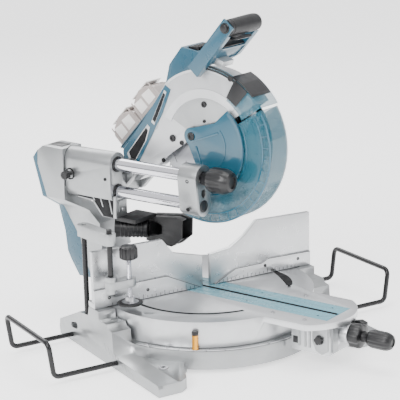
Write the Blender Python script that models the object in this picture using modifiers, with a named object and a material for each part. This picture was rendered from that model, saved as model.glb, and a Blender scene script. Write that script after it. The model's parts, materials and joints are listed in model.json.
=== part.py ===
"""Slide compound mitre saw with bent-wire work holders and a work vise, as separate pieces on real joints.

Drawing frames, in millimetres, with the mitre axis at x = y = 0 and the bench at z = 0:
- base frame: +X to the operator's right, +Y to the rear, +Z up;
- table frame: the same, turned with the table about the mitre axis, so that its -Y points down the kerf.
Each moving body hangs from an empty on its joint's axis.
"""

import math

import bmesh
import bpy
from mathutils import Matrix, Vector

MM = 0.001
GAP = 0.3
ROUND_STEPS = 48
MITRE_DEG = 22.5

TABLE_Z = 100.0
TABLE_RADIUS = 221.0
RING_INNER = 212.0
RING_OUTER = 235.0
RING_TOP = 45.0
WING_INNER_X = 218.0
WING_OUTER_X = 260.0
FOOT_Z = 23.0

HOLDER_ROD_RADIUS = 4.5
HOLDER_REAR_Y = 110.0
HOLDER_FRONT_Y = -87.0
HOLDER_Z = 15.0
VISE_POST = (-252.5, 50.0)
VISE_DROP = (-241.0, -38.0)
VISE_SPINDLE = (-200.0, -38.0)
POST_RADIUS = 5.5
CLAMP_X = 180.0
CLAMP_Z = 127.0
SUB_FENCE_Y = (3.0 + GAP, 13.0)

BEVEL_AXIS_Z = TABLE_Z
RAIL_X = -75.0
UPPER_RAIL_Z = 354.5
LOWER_RAIL_Z = 297.0
UPPER_RAIL_RADIUS = 13.0
LOWER_RAIL_RADIUS = 12.5
SEAM_Y = 290.0

PIVOT = (165.0, 338.0)
ARBOR = (-24.0, 409.0)
BLADE_RADIUS = 130.0
CASE_RADIUS = 152.0
CASE_HALF = 24.0
GUARD_RADIUS = 160.0
GUARD_HALF = 29.5
GEAR_OFFSET = 50.4
MOTOR_ANGLE_DEG = 39.0
DRIVE_TEETH = 33
PINION_TEETH = 12
MODULE = 2.24
BAR = (-93.0, 650.0)
GRIP_RADIUS = 17.5
BATTERY_START = (247.0, 360.0)
BATTERY_ALONG = Vector((-0.681, 0.732))
BATTERY_OUT = Vector((0.732, 0.681))


def clear_scene():
    for obj in list(bpy.data.objects):
        bpy.data.objects.remove(obj)


clear_scene()
PIECES = bpy.data.collections.new("slide_mitre_saw")
TOOLS = bpy.data.collections.new("cutters")
for collection in (PIECES, TOOLS):
    bpy.context.scene.collection.children.link(collection)


# Materials


def material(name, colour, metallic, roughness, alpha=1.0):
    made = bpy.data.materials.new(name)
    made.use_nodes = True
    shader = made.node_tree.nodes["Principled BSDF"]
    shader.inputs["Base Color"].default_value = (*colour, 1.0)
    shader.inputs["Metallic"].default_value = metallic
    shader.inputs["Roughness"].default_value = roughness
    shader.inputs["Alpha"].default_value = alpha
    made.diffuse_color = (*colour, alpha)
    return made


CAST = material("cast_aluminium", (0.62, 0.63, 0.64), 0.8, 0.45)
MACHINED = material("machined_aluminium", (0.78, 0.79, 0.80), 1.0, 0.25)
CHROME = material("chromed_steel", (0.80, 0.80, 0.82), 1.0, 0.08)
STEEL = material("steel", (0.50, 0.50, 0.52), 1.0, 0.35)
COATED = material("black_coated_steel", (0.02, 0.02, 0.02), 0.4, 0.4)
BLACK = material("black_plastic", (0.03, 0.03, 0.035), 0.0, 0.5)
RUBBER = material("rubber", (0.025, 0.025, 0.025), 0.0, 0.8)
TEAL = material("teal_plastic", (0.03, 0.20, 0.28), 0.0, 0.4)
SILVER = material("silver_paint", (0.72, 0.72, 0.72), 0.3, 0.4)
GUARD_CLEAR = material("clear_teal", (0.10, 0.45, 0.52), 0.0, 0.1, 0.5)
BOARD = material("kerf_board_blue", (0.35, 0.62, 0.70), 0.0, 0.4)
AMBER = material("amber_brass", (0.75, 0.42, 0.08), 0.6, 0.3)
CELL = material("battery_plastic", (0.80, 0.72, 0.68), 0.0, 0.3)


# Building blocks


def arc(centre, radius, start_deg, end_deg, steps):
    """Points on an arc, both ends included."""
    turns = [math.radians(start_deg + (end_deg - start_deg) * i / steps) for i in range(steps + 1)]
    return [(centre[0] + radius * math.cos(t), centre[1] + radius * math.sin(t)) for t in turns]


def circle(centre, radius, steps=24):
    return arc(centre, radius, 0, 360, steps)[:-1]


def hull(*circles, steps=20):
    """The outline around circles given as (x, y, radius)."""
    points = [p for x, y, radius in circles for p in circle((x, y), radius, steps)]
    ordered = sorted((round(x, 6), round(y, 6)) for x, y in points)

    def chain(rows):
        kept = []
        for row in rows:
            while len(kept) > 1 and turn(kept[-2], kept[-1], row) <= 1e-9:
                kept.pop()
            kept.append(row)
        return kept[:-1]

    return chain(ordered) + chain(ordered[::-1])


def turn(a, b, c):
    return (b[0] - a[0]) * (c[1] - a[1]) - (b[1] - a[1]) * (c[0] - a[0])


def mirrored(outline, side):
    return [(x * side, y) for x, y in outline]


def finish_mesh(mesh):
    """Weld a mesh, turn its faces outwards and shade it."""
    shape = bmesh.new()
    shape.from_mesh(mesh)
    bmesh.ops.remove_doubles(shape, verts=shape.verts, dist=1e-6)
    bmesh.ops.recalc_face_normals(shape, faces=shape.faces)
    shape.to_mesh(mesh)
    shape.free()
    mesh.shade_smooth()
    mesh.set_sharp_from_angle(angle=math.radians(32))


def piece(name, mesh):
    finish_mesh(mesh)
    obj = bpy.data.objects.new(name, mesh)
    PIECES.objects.link(obj)
    return obj


def from_source(name, source, matrix=None):
    """A plain mesh piece in the drawing frame, made from a curve or a profile with modifiers."""
    PIECES.objects.link(source)
    graph = bpy.context.evaluated_depsgraph_get()
    mesh = bpy.data.meshes.new_from_object(source.evaluated_get(graph))
    if matrix:
        mesh.transform(matrix)
    bpy.data.objects.remove(source)
    return piece(name, mesh)


def block(name, low, high):
    mesh = bpy.data.meshes.new(name)
    shape = bmesh.new()
    bmesh.ops.create_cube(shape, size=1.0)
    size = Vector(high) - Vector(low)
    middle = (Vector(high) + Vector(low)) / 2
    bmesh.ops.scale(shape, vec=size * MM, verts=shape.verts)
    bmesh.ops.translate(shape, vec=middle * MM, verts=shape.verts)
    shape.to_mesh(mesh)
    shape.free()
    return piece(name, mesh)


def plane_matrix(origin, across, up):
    """Maps a flat drawing's x and y onto the directions across and up at the origin."""
    across = Vector(across)
    up = Vector(up)
    matrix = Matrix((across, up, across.cross(up))).transposed().to_4x4()
    matrix.translation = Vector(origin) * MM
    return matrix


def plate(name, outline, holes, thickness, matrix):
    """A flat outline with holes, given half its thickness to each side of the matrix's plane."""
    data = bpy.data.curves.new(name, "CURVE")
    data.dimensions = "2D"
    data.fill_mode = "BOTH"
    data.extrude = thickness * MM / 2
    for loop in [outline, *holes]:
        spline = data.splines.new("POLY")
        spline.points.add(len(loop) - 1)
        for point, (x, y) in zip(spline.points, loop):
            point.co = (x * MM, y * MM, 0.0, 1.0)
        spline.use_cyclic_u = True
    return from_source(name, bpy.data.objects.new(name, data), matrix)


def slab(name, axis, outline, low, high, holes=()):
    """An outline extruded along one axis; it is drawn in the other two axes, in x, y, z order."""
    middle = (low + high) / 2
    planes = {
        "x": plane_matrix((middle, 0, 0), (0, 1, 0), (0, 0, 1)),
        "y": plane_matrix((0, middle, 0), (1, 0, 0), (0, 0, 1)),
        "z": plane_matrix((0, 0, middle), (1, 0, 0), (0, 1, 0)),
    }
    return plate(name, outline, holes, high - low, planes[axis])


def rod(name, start, end, radius, segments=20):
    start = Vector(start) * MM
    end = Vector(end) * MM
    mesh = bpy.data.meshes.new(name)
    shape = bmesh.new()
    turned_to = (end - start).to_track_quat("Z", "Y").to_matrix().to_4x4()
    bmesh.ops.create_cone(
        shape,
        cap_ends=True,
        segments=segments,
        radius1=radius * MM,
        radius2=radius * MM,
        depth=(end - start).length,
        matrix=Matrix.Translation((start + end) / 2) @ turned_to,
    )
    shape.to_mesh(mesh)
    shape.free()
    return piece(name, mesh)


def turned(name, profile, start, direction, steps=20):
    """A turned solid: the profile's (radius, distance) pairs run down its outer side from start along direction."""
    mesh = bpy.data.meshes.new(name)
    points = [(radius * MM, 0.0, -distance * MM) for radius, distance in profile]
    closed = profile[0][0] > 0
    edges = [(i, i + 1) for i in range(len(points) - 1)]
    if closed:
        edges.append((len(points) - 1, 0))
    mesh.from_pydata(points, edges, [])
    source = bpy.data.objects.new(name, mesh)
    screw = source.modifiers.new("Screw", "SCREW")
    screw.steps = steps
    screw.render_steps = steps
    screw.use_merge_vertices = True
    screw.merge_threshold = 0.00001
    matrix = (-Vector(direction)).to_track_quat("Z", "Y").to_matrix().to_4x4()
    matrix.translation = Vector(start) * MM
    return from_source(name, source, matrix)


def wire(name, points, radius):
    data = bpy.data.curves.new(name, "CURVE")
    data.dimensions = "3D"
    data.bevel_depth = radius * MM
    data.bevel_resolution = 2
    data.use_fill_caps = True
    spline = data.splines.new("POLY")
    spline.points.add(len(points) - 1)
    for point, place in zip(spline.points, points):
        point.co = (*(Vector(place) * MM), 1.0)
    return from_source(name, bpy.data.objects.new(name, data))


def rounded_path(corners, radius, steps=4):
    """A path through corners, each rounded with an arc of the given radius."""
    path = [Vector(corners[0])]
    for before, corner, after in zip(corners, corners[1:], corners[2:]):
        corner = Vector(corner)
        back = (Vector(before) - corner).normalized()
        on = (Vector(after) - corner).normalized()
        half = back.angle(on) / 2
        middle = corner + (back + on).normalized() * radius / math.sin(half)
        first = (corner + back * radius / math.tan(half) - middle).normalized()
        last = (corner + on * radius / math.tan(half) - middle).normalized()
        path += [middle + first.slerp(last, i / steps) * radius for i in range(steps + 1)]
    return path + [Vector(corners[-1])]


def boolean(target, tools, operation, solver="EXACT"):
    for tool in tools:
        tool.parent = target
        tool.hide_render = True
        tool.display_type = "WIRE"
        PIECES.objects.unlink(tool)
        TOOLS.objects.link(tool)
        modifier = target.modifiers.new(tool.name, "BOOLEAN")
        modifier.operation = operation
        modifier.object = tool
        modifier.solver = solver
    return target


def join(target, *tools):
    return boolean(target, tools, "UNION")


def cut(target, *tools):
    return boolean(target, tools, "DIFFERENCE")


def common(target, *tools):
    return boolean(target, tools, "INTERSECT", "MANIFOLD")


class Frame:
    """An empty on a joint's axis, at the point zero of the drawing frame."""

    def __init__(self, name, zero=(0, 0, 0), parent=None, turn_deg=0.0):
        self.zero = Vector(zero)
        self.empty = bpy.data.objects.new(name, None)
        self.empty.empty_display_size = 0.03
        PIECES.objects.link(self.empty)
        offset = self.zero - (parent.zero if parent else Vector((0, 0, 0)))
        self.empty.location = offset * MM
        self.empty.rotation_euler.z = math.radians(turn_deg)
        if parent:
            self.empty.parent = parent.empty

    def hang(self, obj, finish):
        obj.parent = self.empty
        obj.location = -self.zero * MM
        obj.data.materials.clear()
        obj.data.materials.append(finish)
        return obj


def along_x(point, x=0.0):
    return (x, *point)


# Base


def wing(side, name):
    """One side of the base: step-topped column, rear lug, front foot and rear web."""
    column = [
        (-255, 0), (-255, 17), (-250, FOOT_Z), (-75, 25), (-70, 73), (-55, 75), (-48, 83),
        (-15, 83), (-15, 99.7), (27, 99.7), (33, 79), (70, 75.3), (70, 0),
    ]
    lug = [(60, 0), (60, 76), (73, 75), (167, 33), (171, 15), (167, 0)]
    foot = [(259, -40), (259, -250), (250, -255), (210, -255), (193, -243), (163, -180), (150, -170), (205, -60)]
    web = [(259, 60), (259, 169), (218, 169), (170, 150), (160, 148), (200, 70)]
    x_range = sorted((side * WING_INNER_X, side * WING_OUTER_X))
    lug_range = sorted((side * 242, side * WING_OUTER_X))
    made = slab(name, "x", column, *x_range)
    return join(
        made,
        slab(name + "_lug", "x", lug, *lug_range),
        slab(name + "_foot", "z", mirrored(foot, side), 0, FOOT_Z),
        slab(name + "_web", "z", mirrored(web, side), 0, FOOT_Z),
    )


def mirror_range(side, near, far):
    return sorted((side * near, side * far))


def wing_cutters(side, name):
    """Hollows under one side, its bench-bolt holes, vise-post hole and lug hand hole."""
    hollow = mirror_range(side, 224, 243)
    front = mirror_range(side, 205, 252)
    rear = mirror_range(side, 212, 252)
    hand = mirror_range(side, 235, 270)
    post_x = -side * VISE_POST[0]
    return [
        block(name + "_column_hollow", (hollow[0], -45, -1), (hollow[1], 62, 68)),
        block(name + "_foot_hollow", (front[0], -235, -1), (front[1], -190, 17)),
        block(name + "_foot_hollow_rear", (front[0], -160, -1), (front[1], -100, 17)),
        block(name + "_web_hollow", (rear[0], 124, -1), (rear[1], 161, 17)),
        rod(name + "_post_hole", (post_x, VISE_POST[1], 30), (post_x, VISE_POST[1], 90), POST_RADIUS + GAP, 16),
        rod(name + "_front_bolt_hole", (side * 205, -176, -1), (side * 205, -176, 30), 4.5, 12),
        rod(name + "_rear_bolt_hole", (side * 196, 143, -1), (side * 196, 143, 30), 4.5, 12),
        rod(name + "_screw_hole", (side * 228, HOLDER_REAR_Y, 14), (side * 228, HOLDER_REAR_Y, 30), 3.3, 12),
        slab(name + "_hand_hole", "x", hull((90, 40, 7), (107, 37, 6), steps=16), *hand),
    ]


def base_casting():
    made = slab("base_casting", "z", circle((0, 0), RING_OUTER, ROUND_STEPS), 8, RING_TOP, [circle((0, 0), RING_INNER, ROUND_STEPS)])
    hub = rod("base_hub", (0, 0, 3), (0, 0, 48), 35, 24)
    spokes = [
        block("base_spoke_x", (-216, -12, 22), (216, 12, 42)),
        block("base_spoke_y", (-12, -216, 22), (12, 216, 42)),
    ]
    join(made, hub, *spokes, wing(-1, "left_wing"), wing(1, "right_wing"))
    cutters = [rod("table_clearance", (0, 0, 46), (0, 0, 140), TABLE_RADIUS + 2, ROUND_STEPS)]
    cutters += wing_cutters(-1, "left_wing") + wing_cutters(1, "right_wing")
    for y in (HOLDER_REAR_Y, HOLDER_FRONT_Y):
        cutters.append(rod("holder_bore", (-280, y, HOLDER_Z), (280, y, HOLDER_Z), 5.2, 12))
    cutters.append(rod("pivot_bore", (0, 0, 12), (0, 0, 60), 7, 24))
    return cut(made, *cutters)


def mitre_scale_plate():
    """Arc plate on the front of the ring, notched at the usual mitre angles."""
    outer = arc((0, 0), 233, -158, -22, 24)
    inner = arc((0, 0), 222.5, -22, -158, 24)
    made = slab("mitre_scale_plate", "z", outer + inner, RING_TOP + GAP, RING_TOP + 2.3)
    for angle in (-60, -45, -31.6, -22.5, 0, 22.5, 31.6, 45, 60):
        notch = block("notch", (-1.6, -236, RING_TOP), (1.6, -229.5, RING_TOP + 4))
        notch.rotation_euler.z = math.radians(angle)
        cut(made, notch)
    return made


def pivot_bolt():
    profile = [(0, 0), (12.5, 0), (12.5, 5.7), (6.7, 5.7), (6.7, 70), (0, 70)]
    return turned("pivot_bolt", profile, (0, 0, 82.8), (0, 0, -1))


def mitre_stop_pin():
    angle = math.radians(-127)
    x = 227.8 * math.cos(angle)
    y = 227.8 * math.sin(angle)
    profile = [(0, 0), (6.6, 0), (6.6, 5), (5.8, 6), (5.8, 24), (6.6, 33), (6.6, 37.5), (0, 37.5)]
    return turned("mitre_stop_pin", profile, (x, y, 85.5), (0, 0, -1), 12)


# Fences


def lower_fence(side, name, strip):
    made = slab(name, "y", strip, 0, 3)
    low, high = mirror_range(side, 130, WING_OUTER_X)
    join(made, block(name + "_foot", (low, 1, TABLE_Z + GAP), (high, 27, 112)))
    return made


def sub_fence(side, name, top):
    """Sliding tall plate behind the lower strip, slotted for its clamp screw."""
    near = top[0][0]
    bottom = [(side * 260, 112.5), (side * 92, 112.5), (side * 92, 101), (near, 101)]
    slot = hull((side * 147, CLAMP_Z, 3.6), (side * 184, CLAMP_Z, 3.6), steps=12)
    made = slab(name, "y", top + bottom, *SUB_FENCE_Y, [slot])
    low, high = mirror_range(side, 120, 258)
    return join(made, block(name + "_rib", (low, 12, 200), (high, 17, 206)))


def fence_clamp(side, name):
    """Wing screw that pinches the sliding fence against the strip."""
    x = side * CLAMP_X
    made = rod(name, (x, 3 + GAP, CLAMP_Z), (x, 20, CLAMP_Z), 3, 16)
    knob = turned(name + "_knob", [(0, 0), (12, 0), (14, 3), (14, 13), (12, 16), (0, 16)], (x, 33, CLAMP_Z), (0, -1, 0))
    lever = block(name + "_lever", (x - 4, 25, CLAMP_Z), (x + 4, 32, CLAMP_Z + 34))
    knob_seat = block(name + "_seat", (x - 8, 13 + GAP, CLAMP_Z - 8), (x + 8, 18, CLAMP_Z + 8))
    return join(made, knob, lever, knob_seat)


# Work holders


def holder(side, name):
    """Bent wire: two rods into the base, two risers and an outer bar."""
    corners = [
        (side * 158, HOLDER_REAR_Y, HOLDER_Z),
        (side * 395, HOLDER_REAR_Y, HOLDER_Z),
        (side * 404, HOLDER_REAR_Y, 85),
        (side * 404, HOLDER_FRONT_Y, 85),
        (side * 395, HOLDER_FRONT_Y, HOLDER_Z),
        (side * 158, HOLDER_FRONT_Y, HOLDER_Z),
    ]
    return wire(name, rounded_path(corners, 13), HOLDER_ROD_RADIUS)


def holder_screw(side, name):
    profile = [(0, 0), (7, 0), (8, 1), (8, 7.5), (3, 7.5), (3, 11.4), (0, 11.4)]
    return turned(name, profile, (side * 228, HOLDER_REAR_Y, 31.2), (0, 0, -1), 16)


# Work vise


def vise_post():
    return rod("vise_post", (*VISE_POST, 30 + GAP), (*VISE_POST, 262), POST_RADIUS, 16)


def vise_upper_arm():
    outline = hull((*VISE_POST, 13), (*VISE_DROP, 13))
    holes = [circle(VISE_POST, POST_RADIUS + GAP, 16), circle(VISE_DROP, POST_RADIUS + GAP, 16)]
    return slab("vise_upper_arm", "z", outline, 241, 264, holes)


def vise_drop_rod():
    return rod("vise_drop_rod", (*VISE_DROP, 146), (*VISE_DROP, 272), POST_RADIUS, 16)


def vise_lower_arm():
    outline = hull((*VISE_DROP, 12), (*VISE_SPINDLE, 13))
    made = slab("vise_lower_arm", "z", outline, 150, 166)
    join(made, rod("vise_rod_boss", (*VISE_DROP, 142), (*VISE_DROP, 176), 11.5))
    return cut(
        made,
        rod("vise_rod_bore", (*VISE_DROP, 130), (*VISE_DROP, 190), POST_RADIUS + GAP, 16),
        rod("vise_spindle_bore", (*VISE_SPINDLE, 140), (*VISE_SPINDLE, 180), 5.3, 16),
    )


def vise_spindle():
    return rod("vise_spindle", (*VISE_SPINDLE, 119.3), (*VISE_SPINDLE, 222), 5, 16)


def vise_pad():
    """Swivel foot with a blind socket for the spindle's end."""
    profile = [(0, 9), (5.3, 9), (5.3, 0), (9, 0), (10, 8), (24, 11), (25, 13), (25, 16), (0, 16)]
    return turned("vise_pad", profile, (*VISE_SPINDLE, 128), (0, 0, -1))


def vise_knob():
    """Knob with a socket below for the spindle's top."""
    profile = [(0, 0), (15, 0), (18.5, 3), (18.5, 23), (14, 27), (5.3, 27), (5.3, 10), (0, 10)]
    return turned("vise_knob", profile, (*VISE_SPINDLE, 232.5), (0, 0, -1), 16)


# Turntable


def arm_outline():
    """Plan of the front arm: straight sides and a round end."""
    return [(-88, -190), *arc((0, -241.5), 103.5, 211.8, 328.2, 16), (88, -190)]


def groove(name, start_deg, end_deg):
    outline = arc((0, 0), 173, start_deg, end_deg, 12) + arc((0, 0), 167, end_deg, start_deg, 12)
    return slab(name, "z", outline, TABLE_Z - 2.5, TABLE_Z + 5)


def turntable():
    made = rod("turntable", (0, 0, 90), (0, 0, TABLE_Z), TABLE_RADIUS, ROUND_STEPS)
    rim = slab("table_rim", "z", circle((0, 0), TABLE_RADIUS, ROUND_STEPS), 48.5, 91, [circle((0, 0), 214, ROUND_STEPS)])
    trunnion = hull((0, TABLE_Z, 40), (-22, 80, 12), (22, 80, 12))
    join(
        made,
        rim,
        rod("table_hub", (0, 0, 48.3), (0, 0, 91), 33, 24),
        block("table_rib_x", (-216, -5, 62), (216, 5, 91)),
        slab("table_arm", "z", arm_outline(), 88, TABLE_Z),
        block("arm_housing", (-50, -328, 30), (42, -242, 89)),
        rod("grip_boss", (0, -326, 66), (0, -348, 66), 20, 24),
        slab("rear_trunnion", "y", trunnion, 196, 250),
    )
    return cut(
        made,
        slab("kerf_slot", "z", [(-8, -319), (8, -319), (8, 63), (-8, 63)], 80, 110),
        block("board_pocket", (-43.4, -319.4, 96.2), (43.4, 46.4, 110)),
        block("arm_hollow", (-44, -322, 20), (36, -230, 82)),
        rod("bolt_head_pocket", (0, 0, 76.9), (0, 0, 90), 13, 24),
        rod("bolt_bore", (0, 0, 40), (0, 0, 90), 7, 24),
        rod("lock_rod_bore", (0, -300, 66), (0, -360, 66), 5.3, 16),
        rod("bevel_shaft_bore", (0, 180, BEVEL_AXIS_Z), (0, 260, BEVEL_AXIS_Z), 10.3, 24),
        groove("left_groove", 154, 242),
        groove("right_groove", -16, -62),
        slab("drain_hole", "z", hull((-199, 2, 5), (-194, -7, 5), steps=12), 80, 110),
    )


def kerf_board(side, name):
    low, high = mirror_range(side, 4, 43)
    made = block(name, (low, -319, 96.5), (high, 46, TABLE_Z))
    screw_y = (-288, -120, 30)
    holes = [rod(name + "_hole", (side * 27, y, 90), (side * 27, y, 110), 2.5, 12) for y in screw_y]
    return cut(made, *holes)


def mitre_lock_rod():
    return rod("mitre_lock_rod", (0, -258, 66), (0, -368, 66), 5, 16)


def mitre_grip():
    """Front handle: star collar, neck and tapered grip, screwed on the lock rod."""
    profile = [
        (0, 22), (5.3, 22), (5.3, 0), (22, 0), (25, 4), (25, 26), (21, 30), (11, 31), (10, 38),
        (13, 43), (17, 58), (17.5, 80), (15, 89), (9, 92), (0, 92),
    ]
    return turned("mitre_grip", profile, (0, -348.3, 66), (0, -1, 0))


def detent_lever():
    outline = [(-330, 67), (-330, 80), (-350, 85), (-362, 81), (-362, 73), (-346, 59), (-337, 58)]
    made = slab("detent_lever", "x", outline, 27, 40)
    return made


# Bevel arm


def arm_front_shape(name, grow=0.0):
    """The arm seen from the front: a wide foot at the bevel axis, leaning left to the rails."""
    outline = [
        (-36, 69), (36, 69), (42, 130), (28, 170), (-4, 215), (-48 + grow, 262), (-45 + grow, 390),
        (-105 - grow, 390), (-105 - grow, 268), (-64 - grow, 240), (-62 - grow, 140),
    ]
    return slab(name, "y", outline, 150, 420)


def bevel_arm():
    side = [
        (250.3, 66), (279, 66), (279, 79), (288, 174), (332, 243), (363, 338), (361, 367), (346, 378),
        (SEAM_Y, 377), (SEAM_Y, 266), (268, 251), (255, 235), (232, 214), (228, 182), (230, 148), (250.3, 148),
    ]
    made = common(slab("bevel_arm", "x", side, -130, 130), arm_front_shape("arm_front"))
    return cut(
        made,
        rod("arm_shaft_bore", (0, 240, BEVEL_AXIS_Z), (0, 274, BEVEL_AXIS_Z), 10.3, 24),
        rod("upper_rail_socket", (RAIL_X, 280, UPPER_RAIL_Z), (RAIL_X, 345, UPPER_RAIL_Z), UPPER_RAIL_RADIUS + GAP),
        rod("lower_rail_socket", (RAIL_X, 280, LOWER_RAIL_Z), (RAIL_X, 335, LOWER_RAIL_Z), LOWER_RAIL_RADIUS + GAP),
    )


def arm_rear_cover():
    side = [
        (279.4, 79), (317, 79), (325, 118), (331, 185), (345, 240), (357, 286), (375, 350), (361.5, 367),
        (363.4, 338), (332.4, 243), (288.4, 174),
    ]
    made = common(slab("arm_rear_cover", "x", side, -130, 130), arm_front_shape("cover_front"))
    hollow = [(285, 100), (312, 100), (318, 140), (324, 188), (338, 270), (331, 236), (292, 172)]
    return cut(made, slab("cover_hollow", "x", hollow, -40, 22))


def upper_rail():
    ring = [circle((RAIL_X, UPPER_RAIL_Z), 6.8, 24)]
    outline = circle((RAIL_X, UPPER_RAIL_Z), UPPER_RAIL_RADIUS, 24)
    return slab("upper_rail", "y", outline, -52, 344.5, ring)


def lower_rail():
    return rod("lower_rail", (RAIL_X, -48, LOWER_RAIL_Z), (RAIL_X, 334.5, LOWER_RAIL_Z), LOWER_RAIL_RADIUS, 24)


def rail_bracket():
    outline = hull((RAIL_X, UPPER_RAIL_Z, 26), (RAIL_X, LOWER_RAIL_Z, 21), steps=24)
    made = slab("rail_bracket", "y", outline, -53, -8)
    return cut(
        made,
        rod("upper_bracket_bore", (RAIL_X, -60, UPPER_RAIL_Z), (RAIL_X, 10, UPPER_RAIL_Z), UPPER_RAIL_RADIUS + GAP, 24),
        rod("lower_bracket_bore", (RAIL_X, -60, LOWER_RAIL_Z), (RAIL_X, 10, LOWER_RAIL_Z), LOWER_RAIL_RADIUS + GAP, 24),
        slab("bracket_waist", "y", hull((RAIL_X, 325, 7), (RAIL_X, 321, 7), steps=16), -60, -28),
    )


def bevel_shaft():
    return rod("bevel_shaft", (0, 190, BEVEL_AXIS_Z), (0, 273.5, BEVEL_AXIS_Z), 10)


def bevel_lock_rod():
    return rod("bevel_lock_rod", (RAIL_X, -88, UPPER_RAIL_Z), (RAIL_X, 344, UPPER_RAIL_Z), 6.3, 16)


def bevel_lock_grip():
    outline = [
        (0, 35), (6.6, 35), (6.6, 0), (12, 0), (14, 6), (20, 14), (25.5, 22), (25.5, 58), (21, 69), (10, 71), (0, 71),
    ]
    return turned("bevel_lock_grip", outline, (RAIL_X, -53.5, UPPER_RAIL_Z), (0, -1, 0))


# Carriage


def ear_outline():
    """Side view of a pivot ear: round nose at the head pivot, foot on the cross bridge."""
    return [*arc(PIVOT, 20, 90, 225, 8), (200, 274), (235, 274), (235, 330), (180, 356)]


def carriage():
    sleeves = hull((RAIL_X, UPPER_RAIL_Z, 25), (RAIL_X, LOWER_RAIL_Z, 25), steps=24)
    made = slab("carriage", "y", sleeves, 167, SEAM_Y - GAP)
    boat = [(160, 290), (160, 243), (196, 243), (220, 272), (220, 290)]
    ears = [slab("left_ear", "x", ear_outline(), -48, -28), slab("right_ear", "x", ear_outline(), 40, 54)]
    join(made, slab("boat_web", "x", boat, -93, -57), *ears, block("bridge", (-58, 203, 274), (54, 234, 322)))
    return cut(
        made,
        rod("upper_sleeve_bore", (RAIL_X, 130, UPPER_RAIL_Z), (RAIL_X, 300, UPPER_RAIL_Z), UPPER_RAIL_RADIUS + GAP, 24),
        rod("lower_sleeve_bore", (RAIL_X, 130, LOWER_RAIL_Z), (RAIL_X, 300, LOWER_RAIL_Z), LOWER_RAIL_RADIUS + GAP, 24),
        rod("pin_bore", along_x(PIVOT, -60), along_x(PIVOT, 60), 9.3),
        rod("knob_bore", (-110, 276, 325.5), (-78, 276, 325.5), 3.3, 12),
        block("bridge_hollow", (-44, 208, 260), (44, 229, 314)),
    )


def chop_pivot_pin():
    return rod("chop_pivot_pin", along_x(PIVOT, -49), along_x(PIVOT, 57), 9)


def return_spring():
    """Coil around the pivot pin, between the head and the right ear."""
    turns, per_turn, mean_radius = 3, 12, 14
    points = []
    for i in range(turns * per_turn + 1):
        angle = 2 * math.pi * i / per_turn
        x = 27 + 10.5 * i / (turns * per_turn)
        points.append((x, PIVOT[0] + mean_radius * math.cos(angle), PIVOT[1] + mean_radius * math.sin(angle)))
    return wire("return_spring", points, 1.5)


def slide_lock_knob():
    profile = [(0, 0), (8, 0), (9.5, 2), (9.5, 14), (5, 17), (5, 20.7), (3, 20.7), (3, 40), (0, 40)]
    return turned("slide_lock_knob", profile, (-121, 276, 325.5), (1, 0, 0), 16)


def dust_nozzle():
    """Scoop behind the blade, slotted so that the blade passes."""
    outer = [(142, 233), (62, 243), (47, 240), (49, 199), (75, 178), (142, 182)]
    inner = [(136, 228), (40, 238), (40, 202), (80, 184), (136, 187)]
    along = (PIPE_END - PIPE_START).normalized()
    made = slab("dust_nozzle", "x", outer, -20, 20)
    join(made, block("nozzle_bracket", (-80, 120, 234.3), (-12, 172, 242.7)))
    return cut(
        made,
        slab("nozzle_hollow", "x", inner, -16, 16),
        block("blade_slot", (-4, 30, 150), (4, 133, 260)),
        rod("nozzle_outlet", PIPE_START - along * 30, PIPE_START, 14, 16),
        rod("pipe_seat", PIPE_START - along * GAP, PIPE_END, 21 + GAP),
    )


PIPE_START = Vector((-26, 130, 212))
PIPE_END = Vector((-62, 189, 213))


def dust_pipe():
    along = (PIPE_END - PIPE_START).normalized()
    made = rod("dust_pipe", PIPE_START, PIPE_END, 21)
    bore = rod("pipe_bore", PIPE_START - along * 5, PIPE_END + along * 5, 18)
    return cut(made, bore)


# Head


def motor_axis():
    angle = math.radians(MOTOR_ANGLE_DEG)
    return (ARBOR[0] + GEAR_OFFSET * math.cos(angle), ARBOR[1] + GEAR_OFFSET * math.sin(angle))


MOTOR = motor_axis()


def blade_case():
    """Upper guard: round over the blade, straight rear edge down to the head pivot."""
    outline = [
        *arc(ARBOR, CASE_RADIUS, 142, 49, 28), (117, 464), (193, 371),
        *arc(PIVOT, 28, 20, -90, 8), (150, 313), (61, 383), (30, 404), (10, 425), (-60, 447),
    ]
    made = slab("blade_case", "x", outline, -CASE_HALF, CASE_HALF)
    return cut(
        made,
        rod("case_cavity", along_x(ARBOR, -21), along_x(ARBOR, 21), 148, 64),
        rod("case_pin_bore", along_x(PIVOT, -30), along_x(PIVOT, 30), 9.3),
    )


def case_front_shield():
    """Fixed clear hood outside the guard's top end, on a strip that runs back to the handle."""
    outline = arc(ARBOR, 163.5, 84, 147, 16) + arc(ARBOR, 112, 147, 121, 8) + arc(ARBOR, 153, 121, 84, 8)
    rim = arc(ARBOR, 163.5, 121, 147, 8) + arc(ARBOR, 161.5, 147, 121, 8)
    made = slab("case_front_shield", "x", outline, -32.9, -30.5)
    return join(made, slab("hood_rim", "x", rim, -32.9, 29.9))


def centre_cover():
    """Opaque plate on the guard's left face, over the arbor."""
    outline = [
        *arc(ARBOR, 97, 128, 280, 24), (-5, 364), *arc((6, 424), 18, -60, 100, 8),
        (-52, 457),
    ]
    return slab("centre_cover", "x", outline, -33.8, -GUARD_HALF - GAP)


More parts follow.
